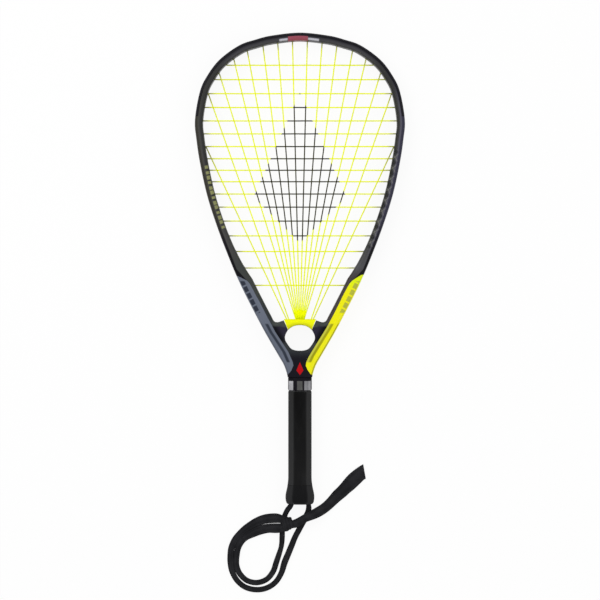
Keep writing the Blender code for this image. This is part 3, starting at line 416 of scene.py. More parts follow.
KNOT_CENTRE = (-0.0138, -0.0238, 0.0072)
KNOT_TURNS = 2.7
KNOT_LENGTH = 0.0096
KNOT_LEFT_RADII = (0.0074, 0.0046)
KNOT_RIGHT_RADII = (0.0046, 0.004)
KNOT_LACE = (0.006, 0.0036)
KNOT_TILT = math.radians(10)
KNOT_START = 0.8
KNOT_SWELL = 0.06

knot_steps = np.linspace(0.0, 1.0, 90)
turn = 2 * math.pi * KNOT_TURNS * knot_steps + KNOT_START
level, upright = (a + (b - a) * knot_steps for a, b in zip(KNOT_LEFT_RADII, KNOT_RIGHT_RADII))
knot_path = np.column_stack([
    (knot_steps - 0.5) * KNOT_LENGTH,
    level * np.cos(turn) * (1.0 + KNOT_SWELL * np.sin(3.1 * turn)),
    upright * np.sin(turn),
])
tilt = np.array(Matrix.Rotation(KNOT_TILT, 3, "Z"))
knot_path = knot_path @ tilt.T
knot_path += (KNOT_CENTRE[0], BUTT_Y + KNOT_CENTRE[1], KNOT_CENTRE[2])
knot_across = np.broadcast_to(tilt @ np.array((1.0, 0.0, 0.0)), knot_path.shape)
knot_rings = rings_round(knot_path, *KNOT_LACE, LACE_SIDES, knot_across, 0.8)
knot = add_piece(
    skinned("lace_knot_wound", knot_rings),
    lace_finish("lace_knot_weave", line_length(knot_path)),
    "lace_knot",
)

# Lace tail
# The free end of the lace comes out of the knot, passes over the right leg and lies flat and wide
# on the floor, where it is cut off at a slant.

# In millimetres: x, distance past the butt end, height, width and thickness
TAIL_ROUTE = [
    (-12.4, 24.2, 9.4, 7, 4.2), (-9, 24.2, 9.8, 9.3, 4), (-5.4, 23.5, 10.4, 10, 3.7),
    (-0.5, 21, 11.2, 9.8, 3.5), (6.6, 16.9, 11.8, 9.8, 3.4), (15.6, 12.9, 11, 11.4, 3.2),
    (22.6, 9.6, 7.4, 12.1, 3), (29.2, 5.6, 4.2, 12.1, 2.8), (34.8, 1, 2.4, 12.3, 2.6),
    (40, -4.2, 1.8, 13, 2.4), (44.6, -8.9, 1.6, 14.1, 2.3), (49.9, -13.6, 1.5, 14.7, 2.2),
    (54.2, -17.9, 1.5, 15.3, 2.1), (58.7, -22.4, 1.4, 16.6, 2), (63.8, -27.6, 1.4, 17.2, 2),
    (69.1, -32.4, 1.4, 16.8, 2), (73.2, -35.6, 1.4, 16.6, 2), (77, -37.8, 1.4, 16.8, 2),
]
TAIL_SIDES = 28
# The cut end's slant, and the part of the tail that leans with it
TAIL_SLANT = 0.35
TAIL_LEANING = 1 / 8

tail_path, (widths, thicknesses) = lace_path(TAIL_ROUTE)
tail_rings = rings_round(tail_path, widths, thicknesses, TAIL_SIDES, squareness=0.6)
tail_end = unit(tail_path[-1] - tail_path[-2])
slants = np.clip(1 - np.linspace(1.0, 0.0, len(tail_path)) / TAIL_LEANING, 0.0, 1.0)
offsets = tail_rings - tail_path[:, None]
higher = offsets @ np.cross((0.0, 0.0, 1.0), tail_end)
tail_rings += tail_end * (higher * slants[:, None] * TAIL_SLANT)[..., None]
tail_piece = add_piece(
    skinned("lace_tail_woven", tail_rings),
    lace_finish("lace_tail_weave", line_length(tail_path)),
    "lace_tail",
)

for name, exit_x in (("left_lace", -LACE_HALF_SPACING), ("right_lace", LACE_HALF_SPACING)):
    piece, path = laces[name]

# Frame
# One hollow moulding of carbon fibre: the hoop, the two arms, the neck and the tube that runs down
# inside the handle. It is painted, with a yellow panel on one arm and a slate one on the other, and
# lacquered.

TIP_Y = 0.2794
NECK_Y = -0.1288
HALF_HEAD = 0.1243
HALF_NECK = 0.0146
CROWN_DEPTH = 0.1031
SIDE_LENGTH = 0.3051
NECK_LEAD = 0.006
EDGE_STEPS = 12
EDGE_SPAN = 0.002
# Shares of the half width, and of the way down to the widest place
CROWN_SHAPE = [
    (0, 0), (0.268, 0.033), (0.422, 0.079), (0.58, 0.147), (0.765, 0.309), (0.882, 0.493),
    (0.953, 0.677), (1, 1),
]
# Shares of the way out from the neck, and of the way down to it
SIDE_SHAPE = [
    (0.984, 0.078), (0.944, 0.171), (0.867, 0.296), (0.756, 0.42), (0.623, 0.545), (0.511, 0.638),
    (0.382, 0.731), (0.244, 0.825), (0.094, 0.918), (0.043, 0.95), (0.011, 0.981), (0, 1),
]
HOOP_WIDTH = 0.0094
ARM_WIDTH = 0.0155
ARM_Y = -0.0186
WIDENING_LENGTH = 0.075
WIDENING_POWER = 2.5
TIP_BEAM = 0.022
SHOULDER_BEAM = 0.027
NECK_BEAM = 0.022
SHOULDER_Y = 0.0244
NECK_TAPER_Y = -0.1066

edge_points = [(u * HALF_HEAD, TIP_Y - v * CROWN_DEPTH) for u, v in CROWN_SHAPE]
for u, v in SIDE_SHAPE:
    x = HALF_NECK + u * (HALF_HEAD - HALF_NECK)
    edge_points.append((x, TIP_Y - CROWN_DEPTH - v * SIDE_LENGTH))
edge_points.insert(0, (-edge_points[1][0], edge_points[1][1]))
edge_points.append((HALF_NECK, NECK_Y - NECK_LEAD))
HEAD_EDGE = smooth_line(edge_points, EDGE_STEPS)[EDGE_STEPS:-EDGE_STEPS]
EDGE_RUN = np.append(0.0, np.cumsum(np.linalg.norm(np.diff(HEAD_EDGE, axis=0), axis=1)))
EDGE_END = EDGE_RUN[-1]


def edge_place(run, depth=0.0):
    """A place at a distance along the head's edge from the tip, and at a depth under that edge.

    The distance is negative on the left half.
    """
    here = min(abs(run), EDGE_END)
    before, place, after = (
        np.array([np.interp(at, EDGE_RUN, HEAD_EDGE[:, i]) for i in (0, 1)])
        for at in (max(here - EDGE_SPAN, 0.0), here, min(here + EDGE_SPAN, EDGE_END))
    )
    ahead = unit(after - before) if here > EDGE_SPAN else np.array((1.0, 0.0))
    place -= depth * np.array((-ahead[1], ahead[0]))
    return place * (math.copysign(1.0, run), 1.0)


def hoop_width(run):
    """The hoop's width seen from the front, which grows into the arms."""
    share = 1 - (edge_place(abs(run))[1] - ARM_Y) / WIDENING_LENGTH
    return HOOP_WIDTH + (ARM_WIDTH - HOOP_WIDTH) * min(max(share, 0.0), 1.0) ** WIDENING_POWER


def half_beam(y):
    """Half of the frame's thickness from front to back."""
    places = (NECK_Y, NECK_TAPER_Y, SHOULDER_Y, TIP_Y)
    return np.interp(y, places, (NECK_BEAM, SHOULDER_BEAM, SHOULDER_BEAM, TIP_BEAM)) / 2


def gap_to(places, line):
    """How far each place is from a line of points, and how far along the line it is nearest."""
    steps = np.diff(line, axis=0)
    offsets = places[:, None] - line[:-1]
    shares = np.clip((offsets * steps).sum(axis=2) / (steps**2).sum(axis=1), 0.0, 1.0)
    gaps = np.linalg.norm(offsets - shares[..., None] * steps, axis=2)
    nearest = gaps.argmin(axis=1)
    rows = np.arange(len(places))
    return gaps[rows, nearest], nearest + shares[rows, nearest]


def rounding(gap, radius, height):
    """How much lower a face is near its edge."""
    share = np.clip(1 - gap / radius, 0.0, 1.0)
    return height * (1 - np.sqrt(1 - share**2))


OUTER_ROUND = 0.0038
OUTER_DROP = 0.0046
HOOP_ROUND = 0.0034
SEAT_ROUND = 0.0007
WINDOW_ROUND = 0.002
DROP_FOR_ROUND = 1.2

BUMPER_END = 0.1775
STRIP_END = 0.40624
REBATE = 0.0035
GROOVE_HALF = 0.00425
FIT = 0.0003

# The inner edge past the hoop: x, y, how round it is there and the outer place across from it
SHOULDER = [
    (0.0328, -0.0588, HOOP_ROUND, 0.4378),
    (0.0316, -0.0612, HOOP_ROUND, 0.44),
    (0.0298, -0.063, 0.003, 0.4425),
    (0.0275, -0.0637, 0.0024, 0.4455),
    (0.025, -0.0634, 0.0016, 0.4485),
    (0.0222, -0.0624, 0.001, 0.451),
    (0.0193, -0.0616, SEAT_ROUND, 0.4535),
]
SEAT_FOOT = (0.0142, -0.0729, SEAT_ROUND, 0.464)
WINDOW_SIDE = [
    SEAT_FOOT,
    (0.0161, -0.0762, 0.0014, 0.4665),
    (0.0174, -0.0794, WINDOW_ROUND, 0.4695),
    (0.0178, -0.082, WINDOW_ROUND, 0.4725),
    (0.0172, -0.0854, WINDOW_ROUND, 0.4765),
    (0.0149, -0.0894, WINDOW_ROUND, 0.4815),
    (0.0119, -0.0936, WINDOW_ROUND, 0.4875),
    (0.0092, -0.0959, WINDOW_ROUND, 0.4915),
    (0.006, -0.097, WINDOW_ROUND, 0.4945),
    (0.003, -0.0975, WINDOW_ROUND, 0.4965),
    (0.0, -0.0976, WINDOW_ROUND, 0.4985),
]
HOOP_LAST = 0.43667
HOOP_STATIONS = 215
NECK_STATIONS = 14
# Two stations lie this close together where the section changes
STEP = 1e-5

hoop_runs = np.append(np.linspace(0.0, HOOP_LAST, HOOP_STATIONS), (BUMPER_END, BUMPER_END + STEP))
hoop_runs = np.sort(np.append(hoop_runs, (STRIP_END + FIT, STRIP_END + FIT + STEP)))
hoop = [(*edge_place(run, hoop_width(run)), HOOP_ROUND, run) for run in hoop_runs]
seat = np.linspace(SHOULDER[-1], SEAT_FOOT, 6)
shoulder = smooth_line([hoop[-1], *SHOULDER], 4)[1:-1]
throat = np.vstack([shoulder, seat[:-1], smooth_line(WINDOW_SIDE, 4)])
neck_end = (0.0, NECK_Y, WINDOW_ROUND, EDGE_END)
neck = np.linspace(WINDOW_SIDE[-1], neck_end, NECK_STATIONS)
stations = np.vstack([hoop, throat, neck[1:]])
inner_line = np.vstack([hoop, throat])

# Places along each station's line, as parts of the rounding at its two ends
ROUND_PLACES = np.array([0.0, 0.05, 0.16, 0.34, 0.6, 1.0])
FLAT_PLACES = np.linspace(0.0, 1.0, 5)[1:-1]
ROUND_SHARE = 0.9


def face_places(station):
    """Places from the inner edge to the outer one, on the line across one station."""
    inner, run = station[:2], station[3]
    outer = edge_place(run)
    length = np.linalg.norm(outer - inner)
    start = HOOP_ROUND if inner[0] > 1e-6 else HOOP_ROUND / 2
    start = min(start, length * ROUND_SHARE - OUTER_ROUND)
    near = ROUND_PLACES * start
    far = length - ROUND_PLACES[::-1] * OUTER_ROUND
    flat = near[-1] + (far[0] - near[-1]) * FLAT_PLACES
    along = np.concatenate([near, flat, far]) / length
    if run <= BUMPER_END + 1e-9:
        along = np.minimum(along, 1 - REBATE / length)
    return inner + along[:, None] * (outer - inner)


faces = np.array([face_places(station) for station in stations])
flat_places = faces.reshape(-1, 2)
outer_gap, _ = gap_to(flat_places, np.vstack([HEAD_EDGE, (HALF_NECK, NECK_Y - 0.01)]))
inner_gap, nearest = gap_to(flat_places, inner_line[:, :2])
inner_round = np.interp(nearest, np.arange(len(inner_line)), inner_line[:, 2])
drop = rounding(outer_gap, OUTER_ROUND, OUTER_DROP)
drop += rounding(inner_gap, inner_round, inner_round * DROP_FOR_ROUND)
heights = (half_beam(flat_places[:, 1]) - drop).reshape(faces.shape[:2])
outer_gap = outer_gap.reshape(heights.shape)
inner_gap = inner_gap.reshape(heights.shape)

FAR_RIM = 0.009
right_rings, depths, rims, run_marks = [], [], [], []
for station, face, height, depth, rim in zip(stations, faces, heights, outer_gap, inner_gap):
    run = station[3]
    wall = face[-1]
    grooved = BUMPER_END < run - STEP / 2 < STRIP_END + FIT
    bottom = edge_place(run, REBATE) if grooved else wall
    front = np.column_stack([face, height])
    groove = [(*wall, GROOVE_HALF), (*bottom, GROOVE_HALF)]
    top = np.vstack([front, groove])
    back = top[::-1] * (1.0, 1.0, -1.0)
    right_rings.append(np.vstack([[(*face[0], 0.0)], top, back]) + (0.0, 0.0, MID_Z))
    sides = [depth[-1], REBATE if grooved else depth[-1]]
    depths.append([depth[0], *depth, *sides, *sides[::-1], *depth[::-1]])
    rims.append([0.0, *rim, *[FAR_RIM] * 4, *rim[::-1]])
    run_marks.append([run] * len(right_rings[-1]))
right_rings, run_marks = np.array(right_rings), np.array(run_marks)


def both_halves(right, mirrored):
    """Rows from the left half's end to the right half's, out of the right half's rows."""
    return np.concatenate([right[:0:-1] * mirrored, right])


def drop_middle_faces(work):
    """Removes the faces that stand in the middle plane, where the two halves meet."""
    inside = [f for f in work.faces if all(abs(v.co.x) < 1e-6 for v in f.verts)]
    bmesh.ops.delete(work, geom=inside, context="FACES")


frame_mesh = skinned(
    "frame_moulding",
    both_halves(right_rings, (-1.0, 1.0, 1.0)),
    marks={
        "depth": both_halves(np.array(depths), 1.0),
        "rim": both_halves(np.array(rims), 1.0),
        "run": both_halves(run_marks, -1.0),
    },
    trim=drop_middle_faces,
)

# The tube inside the handle
SHAFT_SIZE = (0.017, 0.1345, 0.014)
SHAFT_END_Y = -0.2613
SHAFT_EDGE = 0.002
work = bmesh.new()
work.from_mesh(frame_mesh)
shaft_place = Matrix.Translation((0.0, SHAFT_END_Y + SHAFT_SIZE[1] / 2, MID_Z))
tube = bmesh.ops.create_cube(work, matrix=shaft_place @ Matrix.Diagonal((*SHAFT_SIZE, 1.0)))
long_edges = {
    edge
    for vertex in tube["verts"]
    for edge in vertex.link_edges
    if edge.calc_length() > SHAFT_SIZE[1] / 2
}
bevel = {"offset": SHAFT_EDGE, "segments": 4, "profile": 0.5, "affect": "EDGES", "material": -1}
bmesh.ops.bevel(work, geom=list(long_edges), **bevel)
for face in work.faces:
    face.smooth = True
work.to_mesh(frame_mesh)
work.free()

NAVY_BLACK = (0.006, 0.005, 0.01)
HOOP_GREY = (0.032, 0.032, 0.032)
LOW_GREY = (0.052, 0.052, 0.052)
HOOP_SLATE_HIGHLIGHT = (0.098, 0.095, 0.125)
LEFT_SHEEN = (0.075, 0.073, 0.066)
LEFT_EDGE = (0.036, 0.034, 0.027)
RIGHT_EDGE = (0.034, 0.033, 0.056)
WEDGE_BLACK = (0.003, 0.0026, 0.005)
ARM_DARK = (0.031, 0.036, 0.04)
ARM_GREY = (0.045, 0.05, 0.047)
ARM_BROWN = (0.052, 0.043, 0.044)
ARM_LIGHT = (0.078, 0.078, 0.086)
SHOULDER_DARK = (0.001, 0.0013, 0.004)
SHOULDER_NAVY = (0.0215, 0.018, 0.034)
SHOULDER_GREY = (0.052, 0.059, 0.055)
PANEL_YELLOW = (0.88, 0.85, 0.002)
PANEL_DEEP = (0.82, 0.77, 0.002)
PANEL_LIME = (0.74, 0.88, 0.002)
PANEL_OLIVE_SHADE = (0.29, 0.28, 0.002)
PANEL_LINE_HIGHLIGHT = (0.46, 0.48, 0.07)
PANEL_MOSS = (0.41, 0.43, 0.05)
PANEL_SLATE = (0.136, 0.154, 0.2)
SLATE_DEEP = (0.118, 0.136, 0.178)
SLATE_SHADE = (0.014, 0.02, 0.034)
SLATE_BLOCK = (0.012, 0.016, 0.03)
OLIVE = (0.27, 0.28, 0.115)
HATCH_DARK = (0.014, 0.015, 0.014)
HATCH_LINE = (0.19, 0.19, 0.165)
CROWN_DARK = (0.006, 0.0055, 0.01)
CROWN_GREY = (0.058, 0.057, 0.064)
CROWN_RED = (0.31, 0.07, 0.1)
CROWN_PALE = (0.56, 0.55, 0.62)
KITE_RED = (0.48, 0.002, 0.006)
DASH_PITCHES = (0.0062, 0.0171)
LATTICE_PITCH = 0.0133
LATTICE_START = 0.00165
LATTICE_MIDDLE = 0.0072
LATTICE_LEAN = 1.15
BLOCK_PITCH = 0.0086
# The kite's top, widest place and foot, and its half width
NECK_KITE = (-0.1105, -0.1205, -0.1262, 0.0042)

# Each panel's inner border in millimetres: places up the arm and distances from the middle line
YELLOW_BORDER = [
    (-126.2, 20), (-125.6, 13.1), (-119.8, 9), (-114.8, 6.9), (-110.6, 7.6), (-103.9, 10.7),
    (-90.6, 18.8), (-70.6, 31.2), (-63.2, 35.2), (-49.8, 42.3), (-37.3, 48.4), (-32.1, 50.9),
    (-25.1, 54.6), (-18.1, 58.5), (-14.6, 61.7), (-11, 67.1), (-7.5, 73.1), (-6.2, 90),
]
SLATE_BORDER = [
    (-125.4, 20), (-124.8, 13.5), (-120.7, 10.2), (-114.8, 7.7), (-110.6, 8.5), (-99, 13.5),
    (-74.8, 29.3), (-68.2, 32.7), (-58.1, 38.2), (-37.3, 48.8), (-32.1, 51.9), (-25.1, 55.4),
    (-18.1, 59.3), (-14.6, 62.3), (-11, 69.2), (-8.7, 74.4), (-7.2, 90),
]
BORDER_REACH = 0.1
BORDER_SOFT = 0.0002


def inside_border(side, y, border):
    """1 outside a panel's inner border, and how far past the border a place is."""
    border = [(place / 1000, x / 1000) for place, x in border]
    low, high = border[0][0], border[-1][0]
    stops = [((place - low) / (high - low), x / BORDER_REACH) for place, x in border]
    past = side - ((y - low) / (high - low)).follow(stops) * BORDER_REACH
    return past.rise(-BORDER_SOFT, BORDER_SOFT), past


def kite(side, y, top, middle, foot, half):
    """A plain kite: 0 on its outline, and more than 0 inside it."""
    above = (y - middle) / (top - middle)
    below = (y - middle) / (foot - middle)
    return 1 - above.most(below) - side / half


def frame_finish():
    made, place = new_finish("frame_paint", Coat_Roughness=0.12, Specular_IOR_Level=0.08)
    x, y, z = place.split()
    depth, run, rim = (place.mark(name) for name in ("depth", "run", "rim"))
    side, far = abs(x), abs(run)
    right = x.rise(-0.0001, 0.0001)
    grain = place.noise(420.0, 4.0)
    cloud = place.noise(38.0, 2.0)

    # The hoop: dark outside, grey inside, with a painted slate highlight between them down the sides
    inward = depth.rise(0.0034, 0.0046)
    grey = far.rise(0.27, 0.33).blend(HOOP_GREY, LOW_GREY)
    edge = right.blend(LEFT_EDGE, RIGHT_EDGE)
    edge = far.between(0.13, 0.315, 0.025).blend(NAVY_BLACK, edge)
    hoop = inward.blend(edge, grey)
    tip = depth.rise(0.0024, 0.008).blend(CROWN_DARK, CROWN_GREY)
    hoop = far.rise(0.12, 0.085).blend(hoop, tip)
    # Painted highlight down the sides, slate on the right and neutral on the left
    sheen = depth.between(0.0038, 0.0058, 0.0006) * far.between(0.16, 0.345, 0.03)
    hoop = (sheen * (0.5 + right * 0.4)).blend(hoop, right.blend(LEFT_SHEEN, HOOP_SLATE_HIGHLIGHT))
    hoop = (rim.rise(0.0011, 0.0004) * 0.6).blend(hoop, NAVY_BLACK)

    # Printed marks on the inner half: dashes on the left side and a lattice on the right one
    dashes = run.wave(DASH_PITCHES[0]) + run.wave(DASH_PITCHES[1]) * 0.5
    dashes = dashes.rise(-0.55, -0.25) * depth.between(0.0047, 0.0086, 0.0003)
    dashes = dashes * run.between(-0.316, -0.237, 0.0005)
    hoop = (dashes * (0.55 + cloud * 0.6)).blend(hoop, OLIVE)
    lean = (depth - LATTICE_MIDDLE) * LATTICE_LEAN
    along = run - LATTICE_START
    net = [abs(way.wave(2 * LATTICE_PITCH)) for way in (along - lean, along + lean)]
    printed = run.between(0.219, 0.341, 0.002)
    spots = (net[0] * net[1]).rise(0.5, 0.75) * depth.between(0.0046, 0.0086, 0.0003)
    hoop = (printed * spots * 0.9).blend(hoop, HATCH_DARK)
    lines = 1 - net[0].least(net[1]).rise(0.09, 0.22)
    lines = lines * depth.between(0.0034, 0.0086, 0.0003)
    hoop = (printed * lines * 0.6).blend(hoop, HATCH_LINE)

    # A red patch on the crown between two pale streaks
    crown = y.rise(0.2, 0.21)
    red = crown * depth.between(0.0042, 0.0094, 0.0003) * x.between(-0.0141, 0.0096, 0.0004)
    hoop = (red * (0.75 + cloud * 0.4)).blend(hoop, CROWN_RED)
    streaks = x.between(-0.0243, -0.0145, 0.0008).most(x.between(0.0098, 0.0225, 0.0008))
    streaks = crown * streaks * depth.between(0.0061, 0.0086, 0.0008)
    hoop = (streaks * 0.9).blend(hoop, CROWN_PALE)

    # The arms: a dark base, which is black over each panel's tip and beside the saddle
    yellow, past_yellow = inside_border(side, y, YELLOW_BORDER)
    slate, past_slate = inside_border(side, y, SLATE_BORDER)
    past = right.blend(past_slate, past_yellow)
    base = y.rise(-0.02, -0.055).blend(ARM_GREY, ARM_DARK)
    right_base = y.rise(-0.012, 0.004).blend(ARM_BROWN, ARM_LIGHT)
    base = x.rise(0.012, 0.03).blend(base, right_base)
    shoulder = past.rise(-0.0015, -0.01).blend(SHOULDER_DARK, SHOULDER_NAVY)
    shoulder = (rim.rise(0.0068, 0.003) * y.rise(-0.0705, -0.068)).blend(shoulder, SHOULDER_GREY)
    throat = y.between(-0.088, -0.0615, 0.003) * side.between(0.01, 0.0325, 0.002)
    base = throat.blend(base, shoulder)
    base = y.rise(-0.092, -0.108).blend(base, NAVY_BLACK)
    arms = far.rise(0.335, 0.375)
    coat_colour = arms.blend(hoop, base)
    limit = 0.0034 + (-0.001 - y).most(0.0) * 0.43
    wedge = (limit - depth).rise(-0.0004, 0.0004) * y.between(-0.0145, 0.024, 0.004)
    coat_colour = wedge.blend(coat_colour, WEDGE_BLACK)

    # The yellow panel: limy at its tip, with dull blocks, an olive stripe of painted shade, painted
    # shade along its rounded outer edge and a painted highlight along its inner border
    blocks = run.wave(BLOCK_PITCH).rise(-0.95, -0.55)
    blocks = blocks * depth.between(0.0012, 0.0061, 0.0005) * y.between(-0.0525, -0.015, 0.0008)
    stripe_zone = y.between(-0.1109, -0.0655, 0.001)
    # A patchy strength for the printed blocks and for the painted shade
    patchy = 0.75 + cloud * 0.3
    rich = (cloud * 0.5 + 0.5).blend(PANEL_DEEP, PANEL_YELLOW)
    rich = y.rise(-0.028, -0.014).blend(rich, PANEL_LIME)
    rich = (blocks * patchy).blend(rich, PANEL_MOSS)
    # Painted shade: an olive stripe a little past the inner border
    stripe = past_yellow.between(0.0024, 0.006, 0.0008) * stripe_zone
    rich = (stripe * patchy).blend(rich, PANEL_OLIVE_SHADE)
    # Painted shade along the rounded outer edge
    darker_near_edge = depth.between(0.0005, 0.0018, 0.0004) * y.rise(-0.064, -0.067)
    rich = (darker_near_edge * 0.8).blend(rich, PANEL_OLIVE_SHADE)
    # A painted highlight along the inner border
    border_highlight = past_yellow.between(0.0002, 0.0026, 0.0004) * stripe_zone
    rich = (border_highlight * 0.8).blend(rich, PANEL_LINE_HIGHLIGHT)

    # The slate panel, with dark blocks, a dark stripe of painted shade in the same places and a
    # little painted shade along its rounded outer edge
    dull = cloud.rise(0.3, 0.7).blend(SLATE_DEEP, PANEL_SLATE)
    dull = (blocks * patchy).blend(dull, SLATE_BLOCK)
    stripe = past_slate.between(0.0034, 0.0071, 0.0008) * stripe_zone
    dull = (stripe * patchy).blend(dull, SLATE_SHADE)
    # Painted shade along the rounded outer edge
    dull = (darker_near_edge * 0.35).blend(dull, SLATE_SHADE)
    lower = y.rise(-0.0058, -0.0064)
    yellow = yellow * right * lower
    slate = slate * (1 - right) * lower
    coat_colour = slate.blend(yellow.blend(coat_colour, rich), dull)

    # A plain red kite on the neck
    mark = kite(side, y, *NECK_KITE).rise(-0.02, 0.06) * z.rise(MID_Z, MID_Z + 0.001)
    panels = yellow.most(slate)
    paint(
        made,
        Base_Color=mark.blend(coat_colour, KITE_RED),
        Roughness=0.34 + grain * 0.1 + arms * 0.03,
        Coat_Weight=0.05 + panels * 0.13,
        Normal=(panels * 0.6 + grain * 0.05).bump(0.00012, 0.6),
    )
    return made


add_piece(frame_mesh, frame_finish(), "frame")

# Crown bumper
# A nylon guard pressed into the rebate round the tip of the hoop. It carries the barrels that line
# the string holes there, and the strings turn in the channel outside it.

BUMPER_DEPTH = 0.0032
CHANNEL_HALF = 0.0022
CHANNEL_DEPTH = 0.0018
BARREL_RADIUS = 0.0023
BORE_RADIUS = 0.0015
BARREL_NUB = 0.0002
BARREL_SUNK = 0.0007
BARREL_SIDES = 14
MAIN_HOLES = [0.00958, 0.0279, 0.04715, 0.06742, 0.08858, 0.1159]
CROSS_HOLES = [
    0.10105, 0.1256, 0.14689, 0.16475, 0.1819, 0.19936, 0.21457, 0.22962, 0.2437, 0.25785,
    0.27331, 0.28999, 0.30772, 0.32672, 0.34723, 0.36975, 0.39424,
]
NYLON = (0.006, 0.0056, 0.009)
NYLON_SCUFFED = (0.034, 0.034, 0.037)


def band_skin(name, runs, profile):
    """A band along the head's edge. The profile gives depths and heights over its middle."""
    rings, depths = [], []
    for run in runs:
        upper = profile(run)
        section = upper + [(depth, -height) for depth, height in reversed(upper)]
        rings.append([(*edge_place(run, depth), MID_Z + height) for depth, height in section])
        depths.append([depth for depth, _ in section])
    return skinned(name, rings, marks={"depth": depths})


def barrel(run, side):
    """The barrel that lines one string hole, from inside the nylon band to its nub in the head."""
    end = hoop_width(run) + BARREL_NUB
    profile = [
        (BUMPER_DEPTH - BARREL_SUNK, BARREL_RADIUS),
        (end - 0.0004, BARREL_RADIUS),
        (end - 0.0001, BARREL_RADIUS - 0.0002),
        (end, BARREL_RADIUS - 0.0005),
        (end, BORE_RADIUS + 0.0003),
        (end - 0.0004, BORE_RADIUS),
        (end - 0.003, BORE_RADIUS),
    ]
    outer, inner = edge_place(side * run), edge_place(side * run, 0.01)
    ahead = unit(inner - outer)
    across = np.array((-ahead[1], ahead[0], 0.0))
    angles = 2 * np.pi * np.arange(BARREL_SIDES) / BARREL_SIDES
    circle = np.cos(angles)[:, None] * across + np.sin(angles)[:, None] * (0.0, 0.0, 1.0)
    rings = [(*(outer + ahead * along), MID_Z) + circle * radius for along, radius in profile]
    unscuffed = [[hoop_width(run)] * BARREL_SIDES] * len(profile)
    return skinned("barrel", rings, marks={"depth": unscuffed})


def joined(name, meshes):
    work = bmesh.new()
    for mesh in meshes:
        work.from_mesh(mesh)
        bpy.data.meshes.remove(mesh)
    return finished_mesh(name, work)


def bumper_profile(run):
    """The bumper's upper half, from the middle of its inner side round to the channel."""
    made = [(BUMPER_DEPTH, 0.0)]
    for depth in (BUMPER_DEPTH, 0.0023, 0.0013, 0.0006, 0.0002, 0.0):
        beam = half_beam(edge_place(run, depth)[1])
        made.append((depth, beam - rounding(depth, OUTER_ROUND, OUTER_DROP)))
    return [*made, (0.0, CHANNEL_HALF), (CHANNEL_DEPTH, CHANNEL_HALF), (CHANNEL_DEPTH, 0.0)]


def nylon_finish():
    """Moulded nylon with a fine grain, scuffed where it meets walls and floors."""
    made, place = new_finish("moulded_nylon", Specular_IOR_Level=0.16)
    depth = place.mark("depth")
    scratches = place.noise(230.0, 5.0, (1.0, 1.0, 7.0)).rise(0.52, 0.7)
    scuffs = place.noise(46.0, 3.0).rise(0.4, 0.66) * depth.rise(0.0014, 0.0) * scratches
    grain = place.noise(2400.0, 2.0)
    paint(
        made,
        Base_Color=scuffs.blend(NYLON, NYLON_SCUFFED),
        Roughness=0.46 + scuffs * 0.3 + grain * 0.08,
        Normal=(grain * 0.4 - scuffs).bump(0.00008, 0.5),
    )
    return made


nylon = nylon_finish()
bumper_runs = np.linspace(FIT - BUMPER_END, BUMPER_END - FIT, 181)
bumper_meshes = [band_skin("bumper_band", bumper_runs, bumper_profile)]
for run in MAIN_HOLES + [run for run in CROSS_HOLES if run < BUMPER_END]:
    bumper_meshes += [barrel(run, side) for side in (1, -1)]
add_piece(joined("crown_guard", bumper_meshes), nylon, "crown_bumper")

# Grommet strips
# A nylon strip lies in the groove down each side of the hoop, under the strings, with the barrels
# of the cross strings' holes on it. The strings hold it in.

STRIP_START = 0.1778
STRIP_HALF = 0.00395
STRIP_EDGE = 0.0004
STRIP_LIP = 0.0007


def strip_profile(run):
    """A strip's upper half: a flat bed with a low lip at its edge."""
    return [
        (BUMPER_DEPTH, 0.0),
        (BUMPER_DEPTH, STRIP_HALF - STRIP_EDGE),
        (BUMPER_DEPTH - STRIP_EDGE, STRIP_HALF),
        (CHANNEL_DEPTH - STRIP_LIP + STRIP_EDGE, STRIP_HALF),
        (CHANNEL_DEPTH - STRIP_LIP, STRIP_HALF - STRIP_EDGE),
        (CHANNEL_DEPTH - STRIP_LIP, STRIP_HALF - 2 * STRIP_EDGE),
        (CHANNEL_DEPTH, CHANNEL_HALF),
        (CHANNEL_DEPTH, 0.0),
    ]


for node, side in (("right_grommet_strip", 1), ("left_grommet_strip", -1)):
    runs = side * np.linspace(STRIP_START, STRIP_END, 130)
    meshes = [band_skin("strip_band", runs, strip_profile)]
    meshes += [barrel(run, side) for run in CROSS_HOLES if run > BUMPER_END]
    add_piece(joined(node.replace("grommet", "side"), meshes), nylon, node)

# Bridge saddle
# A yellow nylon saddle that clips over the bridge. The middle strings share its slot, the outer
# ones have a hole each, and they all turn round its underside in the window.

SADDLE_TOP_Y = -0.06
SADDLE_TOP_HALF = 0.019
SADDLE_FOOT_HALF = 0.0139
WINDOW_HALF = 0.0172
WINDOW_MIDDLE_Y = -0.0823
WINDOW_RISE = 0.0153
WINDOW_POWER = 2.1
SLOT_HALF = 0.0018
SLOT_REACH = 0.0097
SLOT_DEPTH = 0.002
SADDLE_ROUND = 0.0014
SADDLE_DROP = 0.0018
SADDLE_YELLOW = (0.9, 0.93, 0.002)
SADDLE_SHADE = (0.56, 0.57, 0.006)


def arch_y(x):
    """How high the underside of the bridge is over the window, at a distance from the middle."""
    share = min(abs(x) / WINDOW_HALF, 1.0)
    return WINDOW_MIDDLE_Y + WINDOW_RISE * (1 - share**WINDOW_POWER) ** (1 / WINDOW_POWER)


